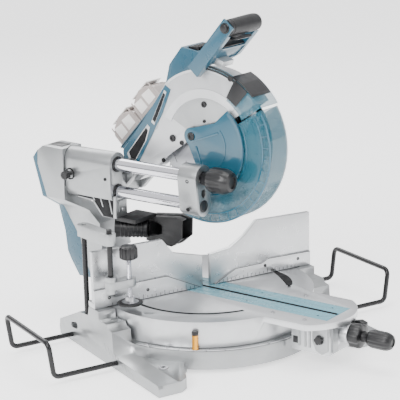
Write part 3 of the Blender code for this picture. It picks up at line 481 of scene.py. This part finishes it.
def tube(shape, path, radius, sides=20):
    """Sweep a circle along a path of points."""
    rings = []
    side = None
    for i, point in enumerate(path):
        ahead = (path[min(i + 1, len(path) - 1)] - path[max(i - 1, 0)]).normalized()
        side = (side - ahead * side.dot(ahead)).normalized() if side else ahead.orthogonal().normalized()
        other = ahead.cross(side)
        turns = [2 * math.pi * k / sides for k in range(sides)]
        spokes = [side * math.cos(t) + other * math.sin(t) for t in turns]
        rings.append([shape.verts.new(point + radius * spoke) for spoke in spokes])
    for one, two in zip(rings, rings[1:]):
        for k in range(sides):
            shape.faces.new((one[k], one[(k + 1) % sides], two[(k + 1) % sides], two[k]))
    shape.faces.new(rings[0][::-1])
    shape.faces.new(rings[-1])


def rounded(corners, radius, steps=10):
    path = [Vector(corners[0])]
    for before, corner, after in zip(corners, corners[1:], corners[2:]):
        corner = Vector(corner)
        back = (Vector(before) - corner).normalized()
        on = (Vector(after) - corner).normalized()
        half = back.angle(on) / 2
        middle = corner + (back + on).normalized() * radius / math.sin(half)
        first = (corner + back * radius / math.tan(half) - middle).normalized()
        last = (corner + on * radius / math.tan(half) - middle).normalized()
        path += [middle + first.slerp(last, i / steps) * radius for i in range(steps + 1)]
    return path + [Vector(corners[-1])]


def holders():
    wire = 5.0
    lean = 9
    bend = 13
    for side, node in ((-1, "left_holder"), (1, "right_holder")):
        low, high = span(node, BENCH)
        inner = low.x if side > 0 else high.x
        outer = (high.x if side > 0 else low.x) - side * wire
        front = low.y + wire
        rear = high.y - wire
        bottom = low.z + wire
        top = high.z - wire
        corners = [
            (inner, rear, bottom), (outer - side * lean, rear, bottom), (outer, rear, top),
            (outer, front, top), (outer - side * lean, front, bottom), (inner, front, bottom),
        ]
        shape = bmesh.new()
        tube(shape, rounded(corners, bend), wire)
        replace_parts(publish(node + "_wire", shape, BENCH, node), node)


# Scales, screws and other small detail


def scale_ticks():
    """Degree ticks on the arc plate, longer at every fifth and fifteenth."""
    top = span("mitre_scale_plate", BENCH)[1].z
    inner = -224.0
    shape = bmesh.new()
    for degree in range(-60, 61):
        length = 5.0 if degree % 15 == 0 else (3.6 if degree % 5 == 0 else 2.0)
        half = 0.28 if degree % 5 else 0.45
        turned = Matrix.Rotation(math.radians(degree), 3, "Z")
        outline = [(-half, inner - length), (half, inner - length), (half, inner), (-half, inner)]
        flat = [turned @ Vector((x, y, 0)) for x, y in outline]
        prism(shape, [(p.x, p.y) for p in flat], top, top + 0.15, "z")
    publish("mitre_scale_ticks", shape, BENCH, "mitre_scale_plate", INK)


def fence_ticks():
    spacing = 10.0
    half = 0.5
    foot = 102.2
    for side, node in ((-1, "left_lower_fence"), (1, "right_lower_fence")):
        shape = bmesh.new()
        for step in range(3, 23):
            x = side * step * spacing
            high = 111.0 if step % 5 == 0 else 107.5
            outline = [(x - half, foot), (x + half, foot), (x + half, high), (x - half, high)]
            prism(shape, outline, -0.15, 0.05, "y")
        publish(node + "_ticks", shape, BENCH, node, INK)


def fence_edge_lines():
    """Dark joint between each lower fence and the sliding fence above it, and along the table."""
    edges = {
        "left_lower_fence": [(-17, 103), (-94, 140), (-260, 140)],
        "right_lower_fence": [(20, 101.5), (72, 126), (136, 126), (152, 133.5), (260, 131)],
    }
    for node, points in edges.items():
        shape = bmesh.new()
        for one, two in zip(points, points[1:]):
            first, last = sorted((one, two))
            below = [(first[0], first[1] - 1.5), (last[0], last[1] - 1.5)]
            outline = [*below, (last[0], last[1] - 0.2), (first[0], first[1] - 0.2)]
            prism(shape, outline, -0.12, 0.3, "y")
        side = math.copysign(1, points[0][0])
        outer, inner = side * 232, side * 26
        prism(shape, [(outer, 100.6), (inner, 100.6), (inner, 101.5), (outer, 101.5)], -0.12, 0.3, "y")
        publish(node + "_edge_lines", shape, BENCH, node, SHADE_AND_SEAM_BLACK)


def fence_screws():
    for node, places in (("left_lower_fence", (-227, -139)), ("right_lower_fence", (144, 228))):
        shape = bmesh.new()
        for x in places:
            head = [(0, 0), (3.6, 0), (3.4, 0.5), (2.0, 0.5, hexagon), (1.9, 0.1, hexagon), (0, 0.1)]
            lathe(shape, head, (x, 0.1, 119), (0, -1, 0), 24)
        publish(node + "_screws", shape, BENCH, node, COATED)


def board_screws():
    top = span("left_kerf_board", TABLE)[1].z
    for side, node in ((-1, "left_kerf_board"), (1, "right_kerf_board")):
        shape = bmesh.new()
        for y in (-288, -120, 30):
            head = [(0, 0), (2.4, 0), (2.4, 2.6), (1.2, 2.9, hexagon), (1.1, 1.8, hexagon), (0, 1.8)]
            lathe(shape, head, (side * 27, y, top - 3.2), (0, 0, 1), 24)
        publish(node + "_screws", shape, TABLE, "turntable", COATED)


def kerf_line():
    """Black walls of the slot between the boards, painting the shade down in the slot."""
    low, high = span("left_kerf_board", TABLE)
    shape = bmesh.new()
    for first, last in ((-4.4, -2.4), (2.4, 4.4)):
        # painted shade: black walls stand in for the dark inside the slot
        brick(shape, (first, low.y + 6, high.z - 3.4), (last, high.y - 2, high.z + 0.08))
    publish("kerf_slot_painted_shade", shape, TABLE, "turntable", SHADE_AND_SEAM_BLACK)


def latch_detail():
    """Hooked plate, lobed nut and ribs on the left of the arm's front housing."""
    shape = bmesh.new()
    hook = [(-327, 88), (-292, 88), (-292, 56), (-300, 38), (-314, 32), (-327, 40)]
    prism(shape, hook, -54, -49.6, "x", 1.2)
    for y in (-286, -276, -262):
        brick(shape, (-52, y, 40), (-49.6, y + 4, 88), 0.6)
    brick(shape, (-40, -331.5, 34), (-22, -327.6, 86), 1.0)
    publish("latch_plate", shape, TABLE, "turntable")
    shape = bmesh.new()
    star = lobes(5, 0.2)
    lathe(shape, [(0, 0), (9, 0, star), (10, 2, star), (9, 7, star), (0, 8)], (-54, -309, 62), (-1, 0, 0), 60)
    brick(shape, (-51.2, -258, 44), (-49.6, -246, 58), 0.5)
    publish("latch_nut", shape, TABLE, "turntable", BLACK)


def table_grooves():
    """Black fills in the two arc grooves, painting the shade in them."""
    top = span("left_kerf_board", TABLE)[1].z
    bottom = top - 1.0
    level = top + 0.12
    radius = 170
    widest = 7.5
    steps = 20
    shape = bmesh.new()
    # painted shade: black fills stand in for the dark inside the grooves
    prism(shape, band((0, 0), radius - 4, radius + 4, 154.6, 241.4, 48), bottom, level, "z", 0.05)
    outer = []
    inner = []
    for i in range(steps + 1):
        angle = math.radians(-17 - 38 * i / steps)
        half = 2.5 + widest * math.sin(math.pi * 0.85 * i / steps)
        outer.append(((radius + half) * math.cos(angle), (radius + half) * math.sin(angle)))
        inner.append(((radius - half) * math.cos(angle), (radius - half) * math.sin(angle)))
    prism(shape, outer + inner[::-1], bottom, level, "z", 0.05)
    publish("table_groove_painted_shade", shape, TABLE, "turntable", SHADE_AND_SEAM_BLACK)


def table_screws():
    """Screw heads on the arm and beside the boards."""
    shape = bmesh.new()
    for side in (-1, 1):
        screw(shape, (side * 60, -205, 99.6), (0, 0, 1), 4.5)
    screw(shape, (-62, -280, 99.6), (0, 0, 1), 4.0)
    publish("table_screws", shape, TABLE, "turntable", STEEL)


def base_detail():
    """Ribs on the wing flanks, washers round the bench holes and screw heads on the ring."""
    shape = bmesh.new()
    flank = span("base_casting", BENCH)[1].x
    pitch = 14
    fall = 3.2
    ring = 228
    for side in (-1, 1):
        face = side * flank
        for i in range(9):
            y = -38 - pitch * i
            z = 40 - fall * i
            outline = [(y, z), (y + 5, z), (y - 1, z - 14), (y - 6, z - 14)]
            first, second = sorted((face, face - side * 1.5))
            prism(shape, outline, first - 0.4, second, "x", 0.2)
    publish("base_flank_ribs", shape, BENCH, "base_casting")
    shape = bmesh.new()
    for side in (-1, 1):
        for x, y in ((205, -176), (196, 143)):
            washer = [(4.6, 0), (9.5, 0), (9.5, 0.9), (8.8, 1.5), (4.6, 1.5)]
            lathe(shape, washer, (side * x, y, 22.8), (0, 0, 1), 40)
    for angle in (-152, -141, -39, -28):
        turned = math.radians(angle)
        screw(shape, (ring * math.cos(turned), ring * math.sin(turned), 47), (0, 0, 1), 3.2)
    publish("base_washers", shape, BENCH, "base_casting", STEEL)


# Head


def case_detail():
    """Rolled lip, raised rings and bolts on the left face of the blade case."""
    face = span("blade_case", TABLE)[0].x
    shape = bmesh.new()
    prism(shape, band(ARBOR, 147, 152, 52, 141, 48), face - 1.6, face + 0.5, "x", 0.6)
    prism(shape, band(ARBOR, 94, 112, 24, 132, 48), face - 1.8, face + 0.5, "x", 0.8)
    publish("case_lips", shape, TABLE, "blade_case")
    shape = bmesh.new()
    prism(shape, band(ARBOR, 20, 93, 28, 126, 40), face - 0.6, face + 0.5, "x", 0.2)
    recess = [(96, 478), (128, 436), (146, 400), (140, 396), (100, 428), (92, 452)]
    prism(shape, recess, face - 1.0, face + 0.3, "x", 0.4)
    publish("case_recess", shape, TABLE, "blade_case", CAST)
    shape = bmesh.new()
    bolts = ((60, 412, 7.5), (-21, 490, 6.5), (37, 405, 5.0), (85, 363, 5.0), (-21, 456, 3.5))
    for y, z, radius in bolts:
        screw(shape, (face - 0.4, y, z), (-1, 0, 0), radius)
    publish("case_bolts", shape, TABLE, "blade_case", COATED)


def housing_flank():
    """Teal side of the motor housing behind the case, with two framed vents whose openings are black sheets
    painting the shade inside them.
    """
    face = span("blade_case", TABLE)[0].x
    shape = bmesh.new()
    flank = [
        (76, 520), (116, 465), (192, 371), (190, 344), (180, 326), (160, 336), (118, 404), (84, 462),
        (62, 512),
    ]
    prism(shape, flank, face - 1.4, face + 0.4, "x", 0.6)
    publish("housing_flank", shape, TABLE, "head_housing")
    vents = (
        [(181, 366), (172, 345), (162, 348), (128, 400), (118, 428), (124, 434)],
        [(114, 440), (106, 434), (88, 470), (72, 506), (78, 510)],
    )
    shape = bmesh.new()
    vent_shade = bmesh.new()
    for vent in vents:
        middle = sum((Vector(point) for point in vent), Vector((0, 0))) / len(vent)
        inside = [tuple(middle + (Vector(point) - middle) * 0.84) for point in vent]
        prism(shape, vent, face - 2.1, face - 1.2, "x", 0.4)
        # painted shade: a black sheet inside each vent frame stands in for the dark of the opening
        prism(vent_shade, inside, face - 2.4, face - 1.8, "x", 0.2)
    publish("vent_frames", shape, TABLE, "head_housing", SILVER)
    publish("vent_openings_painted_shade", vent_shade, TABLE, "head_housing", SHADE_AND_SEAM_BLACK)


def hood_detail():
    """Black lever over the clear hood, and the lamp block behind it."""
    face = span("case_front_shield", TABLE)[0].x
    shape = bmesh.new()
    prism(shape, band(ARBOR, 154, 157, 88, 121, 20), face - 1.8, face + 0.2, "x", 0.5)
    prism(shape, band(ARBOR, 159.5, 162.5, 96, 121, 16), face - 1.8, face + 0.2, "x", 0.5)
    prism(shape, band(ARBOR, 118, 160, 119.5, 133, 16), face - 1.6, face + 0.2, "x", 0.6)
    prism(shape, band(ARBOR, 161.1, 163.9, 117, 138, 16), face - 0.4, 28, "x", 0.4)
    pin = math.radians(116)
    reach = 157
    centre = (face - 0.4, ARBOR[0] + reach * math.cos(pin), ARBOR[1] + reach * math.sin(pin))
    screw(shape, centre, (-1, 0, 0), 6.0)
    publish("hood_lever", shape, TABLE, "case_front_shield", BLACK)
    shape = bmesh.new()
    prism(shape, [(-22, 574), (-64, 568), (-68, 578), (-34, 592)], -20, 16, "x", 1.5)
    publish("lamp_block", shape, TABLE, "blade_case")


def guard_detail():
    """Ridges, ribs and the lip of the clear guard."""
    face = span("lower_guard", TABLE)[0].x
    rib_inner = 141
    rib_outer = 156
    half = 0.7
    shape = bmesh.new()
    for inner, outer in ((156, 160), (139, 141.5), (101, 103)):
        prism(shape, band(ARBOR, inner, outer, 150, 293, 60), face - 0.6, face + 0.4, "x", 0.2)
    for angle in range(158, 292, 9):
        turned = math.radians(angle)
        across = Vector((-math.sin(turned), math.cos(turned))) * half
        ray = Vector((math.cos(turned), math.sin(turned)))
        ends = [ray * radius + Vector(ARBOR) for radius in (rib_inner, rib_outer)]
        outline = [ends[0] - across, ends[1] - across, ends[1] + across, ends[0] + across]
        prism(shape, [tuple(p) for p in outline], face - 0.5, face + 0.3, "x")
    publish("guard_ridges", shape, TABLE, "lower_guard", COVER)


def guard_painted_shade():
    """Black sheet behind the blade, painting the shade inside the guard."""
    shape = bmesh.new()
    # painted shade: a black band between the plates stands in for the dark inside the case
    prism(shape, band(ARBOR, 60, 126, 140, 190, 32), 24.4, 26.2, "x", 0.4)
    publish("inner_wall_painted_shade", shape, TABLE, "case_front_shield", BLACK)


def cover_detail():
    face = span("centre_cover", TABLE)[0].x
    shape = bmesh.new()
    prism(shape, band(ARBOR, 90, 96.5, 130, 278, 48), face - 1.6, face + 0.3, "x", 0.6)
    prism(shape, band(ARBOR, 52, 55, 140, 262, 36), face - 1.2, face + 0.3, "x", 0.5)
    prism(shape, [(-60, 440), (-62, 436), (2, 412), (3, 416)], face - 1.2, face + 0.3, "x", 0.4)
    prism(shape, [(-8, 405), (-4, 405), (-20, 352), (-24, 353)], face - 1.2, face + 0.3, "x", 0.4)
    publish("centre_cover_ribs", shape, TABLE, "centre_cover", COVER)
    shape = bmesh.new()
    screw(shape, (face, 6, 424), (-1, 0, 0), 8.5)
    screw(shape, (face, -70, 350), (-1, 0, 0), 4.0)
    publish("centre_cover_bolts", shape, TABLE, "centre_cover", COATED)


def blade_detail():
    """Dark expansion cuts in the blade body."""
    half = 1.35
    shape = bmesh.new()
    for start in range(0, 360, 60):
        prism(shape, band(ARBOR, 84, 85.2, start, start + 26, 12), -half, half, "x")
        prism(shape, band(ARBOR, 106, 107.2, start + 30, start + 52, 12), -half, half, "x")
    publish("blade_cuts", shape, TABLE, "saw_blade", SHADE_AND_SEAM_BLACK)


RAIL_START = Vector((247, 360))
RAIL_ALONG = Vector((-0.681, 0.732))
RAIL_OUT = Vector((0.732, 0.681))
PACK_PITCH = 83


def rail_outline(points):
    """Points along the battery rail and outwards from it."""
    return [tuple(RAIL_START + RAIL_ALONG * along + RAIL_OUT * out) for along, out in points]


def housing_detail():
    """Slats in the top louvre, and a seam beside the battery rail."""
    face = span("head_housing", TABLE)[0].x
    pitch = 9
    width = 3.2
    slat = [(64, 590.5), (41, 590.5), (38, 577), (61, 579)]
    shape = bmesh.new()
    for i in range(7):
        x = 40 + pitch * i
        prism(shape, slat, x, x + width, "x", 0.4)
    publish("top_louvre_slats", shape, TABLE, "head_housing", BLACK)
    shape = bmesh.new()
    prism(shape, rail_outline([(0, -4), (172, -4), (172, -2.6), (0, -2.6)]), face - 0.5, face + 0.2, "x")
    publish("housing_seam", shape, TABLE, "head_housing", SHADE_AND_SEAM_BLACK)


def motor_detail():
    """Ribs, vents and screws on the motor can; the vents are black sectors painting the shade in the openings."""
    end = span("head_housing", TABLE)[1].x
    can = 47
    rib = 48.9
    vents = 16
    bolt_circle = 41
    shape = bmesh.new()
    for k in range(3):
        x = 112 + 9 * k
        lathe(shape, [(can, 0), (rib, 0.6), (rib, 3.4), (can, 4)], (x, *MOTOR), (1, 0, 0), 72)
    lathe(shape, [(20, 0), (46, 0), (45, 1.8), (22, 1.8)], (end - 0.4, *MOTOR), (1, 0, 0), 72)
    publish("motor_can_ribs", shape, TABLE, "head_housing")
    shape = bmesh.new()
    # painted shade: black sectors stand in for the dark inside the vent openings
    for k in range(vents):
        first = k * 360 / vents
        prism(shape, band(MOTOR, 26, 41, first, first + 11, 6), end - 0.2, end + 1.7, "x", 0.3)
    publish("motor_vents_painted_shade", shape, TABLE, "head_housing", SHADE_AND_SEAM_BLACK)
    shape = bmesh.new()
    for k in range(4):
        turned = math.radians(45 + 90 * k)
        y = MOTOR[0] + bolt_circle * math.cos(turned)
        z = MOTOR[1] + bolt_circle * math.sin(turned)
        screw(shape, (54.8, y, z), (1, 0, 0), 3.5)
    publish("motor_screws", shape, TABLE, "gear_housing", STEEL)


HANDLE_UP = Vector((0, -0.66, 0.7513)).normalized()
HANDLE_OUT = Vector((1, 0, 0)).cross(HANDLE_UP)


def handle_place():
    """Frame of the D-handle: x across, y up to the bar, z out of its front."""
    low, high = span("handle_grip", TABLE)
    middle = Vector((0, (low.y + high.y) / 2, (low.z + high.z) / 2))
    matrix = Matrix((Vector((1, 0, 0)), HANDLE_UP, HANDLE_OUT)).transposed().to_4x4()
    matrix.translation = middle
    return TABLE @ matrix


def handle_detail():
    place = handle_place()
    shape = bmesh.new()
    prism(shape, [(-32, -50), (-32, -90), (30, -90), (56, -77), (58, -50)], 3, 12.5, "z", 2.0)
    publish("handle_panel", shape, place, "handle_frame")
    shape = bmesh.new()
    brick(shape, (-31, -47.6, -10), (45, -44.5, 12), 1.0)
    publish("handle_throat_liner", shape, place, "handle_frame", BLACK)
    shape = bmesh.new()
    lathe(shape, [(6.6, 0), (10.5, 0), (10.5, 1.4), (9.6, 2), (6.6, 2)], (-48.8, 0, 0), (-1, 0, 0), 40)
    publish("handle_socket", shape, place, "handle_frame", COATED)


def battery_detail():
    """Pale windows, ribs and release buttons on the two packs."""
    for node, start in (("lower_battery", 0), ("upper_battery", PACK_PITCH)):
        low, high = span(node, TABLE)
        shape = bmesh.new()
        for first, last in ((12, 36), (42, 68)):
            window = [(start + first, 10), (start + last, 10), (start + last, 34), (start + first, 38)]
            prism(shape, rail_outline(window), low.x - 0.9, low.x + 0.5, "x", 0.4)
            top = [(start + first, 49.6), (start + last, 49.6), (start + last, 51.8), (start + first, 51.8)]
            prism(shape, rail_outline(top), low.x + 6, high.x - 6, "x", 0.4)
        publish(node + "_windows", shape, TABLE, node, PALE)
        shape = bmesh.new()
        for along in (6, 74):
            rib = [(start + along, 5), (start + along + 3, 5), (start + along + 3, 44), (start + along, 44)]
            prism(shape, rail_outline(rib), low.x - 0.9, low.x + 0.5, "x", 0.3)
        publish(node + "_ribs", shape, TABLE, node)


# Arm and carriage


def carriage_detail():
    """Rod wipers, a black sheet painting the shade under the carriage, and the stop below the lower rail."""
    left = -95
    right = -58
    shape = bmesh.new()
    for low, high in (span("upper_rail", TABLE), span("lower_rail", TABLE)):
        x = (low.x + high.x) / 2
        z = (low.z + high.z) / 2
        radius = (high.x - low.x) / 2
        ring = [(radius + 0.5, 0), (radius + 3.4, 0), (radius + 3.4, 2), (radius + 2.4, 3), (radius + 0.5, 3)]
        lathe(shape, ring, (x, 167.6, z), (0, -1, 0), 56)
    publish("rod_wipers", shape, TABLE, "carriage", BLACK)
    shape = bmesh.new()
    # painted shade: a near-black sheet under the carriage stands in for the shade below it
    under = [(166, 290), (262, 290), (262, 277), (222, 275), (196, 244), (168, 243.5)]
    prism(shape, under, -94.2, right, "x", 1.0)
    publish("carriage_underside_painted_shade", shape, TABLE, "carriage", SHADE_AND_SEAM_BLACK)
    shape = bmesh.new()
    lip = [(262, 279), (262, 276.6), (221, 274.2), (196, 243.4), (194, 246), (219, 277)]
    prism(shape, lip, left, right, "x", 0.4)
    for y in (176, 200, 222):
        foot = 252 + (y - 176) * 0.5
        prism(shape, [(y, 288), (y + 3, 288), (y - 5, foot), (y - 8, foot)], left, right - 2, "x", 0.4)
    publish("carriage_ribs", shape, TABLE, "carriage")
    shape = bmesh.new()
    brick(shape, (-86, 156, 256), (-64, 168, 281), 1.5)
    screw(shape, (-75, 156.2, 261), (0, -1, 0), 4)
    publish("stop_foot", shape, TABLE, "carriage")
    shape = bmesh.new()
    for y, z in ((180, 326), (280, 326)):
        screw(shape, (-99.5, y, z), (-1, 0, 0), 3.6)
    publish("sleeve_screws", shape, TABLE, "carriage", COATED)


def bracket_detail():
    low, high = span("rail_bracket", TABLE)
    x = (low.x + high.x) / 2
    shape = bmesh.new()
    for rail in ("upper_rail", "lower_rail"):
        bottom, top = span(rail, TABLE)
        screw(shape, (low.x + 2.2, -32, (bottom.z + top.z) / 2 - 4), (-1, 0, 0), 4.2)
    for z in (318, 330):
        screw(shape, (x, -28.2, z), (0, -1, 0), 4.0)
    publish("bracket_screws", shape, TABLE, "rail_bracket", COATED)
    shape = bmesh.new()
    bottom, top = span("lower_rail", TABLE)
    middle = (x, low.y + 0.4, (bottom.z + top.z) / 2)
    lathe(shape, [(0, 0), (12.4, 0), (12.4, 1.0), (9, 1.4), (8.4, 0.6), (0, 0.6)], middle, (0, -1, 0), 48)
    publish("lower_rail_cap", shape, TABLE, "rail_bracket", BLACK)


def arm_detail():
    """Black strip on top of the arm, and the curved seam at the carriage."""
    shape = bmesh.new()
    brick(shape, (-88, 306, 376.2), (-60, 345, 378.6), 0.6)
    publish("arm_top_strip", shape, TABLE, "bevel_arm", BLACK)
    shape = bmesh.new()
    lathe(shape, [(25.1, 0), (25.6, 0.4), (25.6, 1.6), (25.1, 2)], (-75, 289.5, 354.5), (0, 1, 0), 64)
    brick(shape, (-100.6, 289, 297), (-99.6, 291, 354), 0.2)
    lathe(shape, [(9.6, 0), (12.4, 0), (12.4, 1.2), (9.6, 1.2)], (-100.0, 276, 325.5), (-1, 0, 0), 40)
    publish("sleeve_seam", shape, TABLE, "carriage", SHADE_AND_SEAM_BLACK)


# Floor, lights and camera


def studio():
    mesh = bpy.data.meshes.new("floor")
    half = 12.0
    corners = [(-half, -half, 0), (half, -half, 0), (half, half, 0), (-half, half, 0)]
    mesh.from_pydata(corners, [], [(0, 1, 2, 3)])
    floor = bpy.data.objects.new("floor", mesh)
    bpy.context.scene.collection.objects.link(floor)
    mesh.materials.append(material(
        "pale_floor", (0.93, 0.93, 0.93), 0.65, mottle=0.01, grain=200.0, bump=0.01,
        Emission_Color=(1.0, 1.0, 1.0, 1.0), Emission_Strength=1.15,
    ))
    world = bpy.data.worlds.new("studio_world")
    world.use_nodes = True
    nodes = world.node_tree.nodes
    links = world.node_tree.links
    height = nodes.new("ShaderNodeSeparateXYZ")
    links.new(nodes.new("ShaderNodeTexCoord").outputs["Generated"], height.inputs["Vector"])
    ramp = nodes.new("ShaderNodeValToRGB")
    ramp.color_ramp.elements[0].position = 0.0
    ramp.color_ramp.elements[0].color = (0.30, 0.31, 0.33, 1.0)
    ramp.color_ramp.elements[1].position = 0.75
    ramp.color_ramp.elements[1].color = (1.0, 1.0, 1.0, 1.0)
    for position, grey in ((0.08, 0.10), (0.18, 0.80), (0.45, 1.0)):
        element = ramp.color_ramp.elements.new(position)
        element.color = (grey, grey, grey * 1.03, 1.0)
    links.new(height.outputs["Z"], ramp.inputs["Fac"])
    links.new(ramp.outputs["Color"], nodes["Background"].inputs["Color"])
    nodes["Background"].inputs["Strength"].default_value = 1.3
    bpy.context.scene.world = world
    middle = Vector((0, 0, 0.3))
    lights = [
        ("key", (-2.2, -1.0, 1.7), 1.3, 62.0),
        ("fill", (1.4, -2.6, 0.9), 0.8, 14.0),
        ("back", (0.4, 2.4, 2.2), 1.8, 40.0),
        ("top", (0.0, -0.2, 2.6), 1.4, 34.0),
    ]
    for name, place, side, power in lights:
        data = bpy.data.lights.new(name, "AREA")
        data.size = side
        data.energy = power
        lamp = bpy.data.objects.new(name, data)
        lamp.location = place
        aim = middle - Vector(place)
        lamp.rotation_euler = aim.to_track_quat("-Z", "Y").to_euler()
        bpy.context.scene.collection.objects.link(lamp)


def camera():
    """Seen from the front left, a little above the head."""
    yaw, pitch, roll = (math.radians(v) for v in (30.41, 15.17, -1.33))
    ahead = Vector((math.sin(yaw) * math.cos(pitch), math.cos(yaw) * math.cos(pitch), -math.sin(pitch)))
    level = Vector((math.cos(yaw), -math.sin(yaw), 0))
    above = level.cross(ahead)
    right = math.cos(roll) * level + math.sin(roll) * above
    above = -math.sin(roll) * level + math.cos(roll) * above
    data = bpy.data.cameras.new("camera")
    data.sensor_width = 36.0
    data.lens = 133.5
    data.clip_end = 50.0
    obj = bpy.data.objects.new("camera", data)
    matrix = Matrix((right, above, -ahead)).transposed().to_4x4()
    matrix.translation = Vector((-1.487, -2.513, 1.077))
    obj.matrix_world = matrix
    bpy.context.scene.collection.objects.link(obj)
    bpy.context.scene.camera = obj


def build():
    refine_the_rest()
    for make in (
        mitre_grip, bevel_lock_grip, vise_knob, vise_spindle, vise_pad, stop_pin, slide_lock_knob,
        handle_grip, rails, dust_pipe, holders, scale_ticks, fence_ticks, fence_edge_lines,
        fence_screws, board_screws, kerf_line, latch_detail, table_grooves, table_screws, base_detail,
        case_detail, housing_flank, hood_detail, guard_detail, guard_painted_shade, cover_detail,
        blade_detail, housing_detail, motor_detail, handle_detail, battery_detail, carriage_detail,
        bracket_detail, arm_detail,
    ):
        make()


build()
studio()
camera()
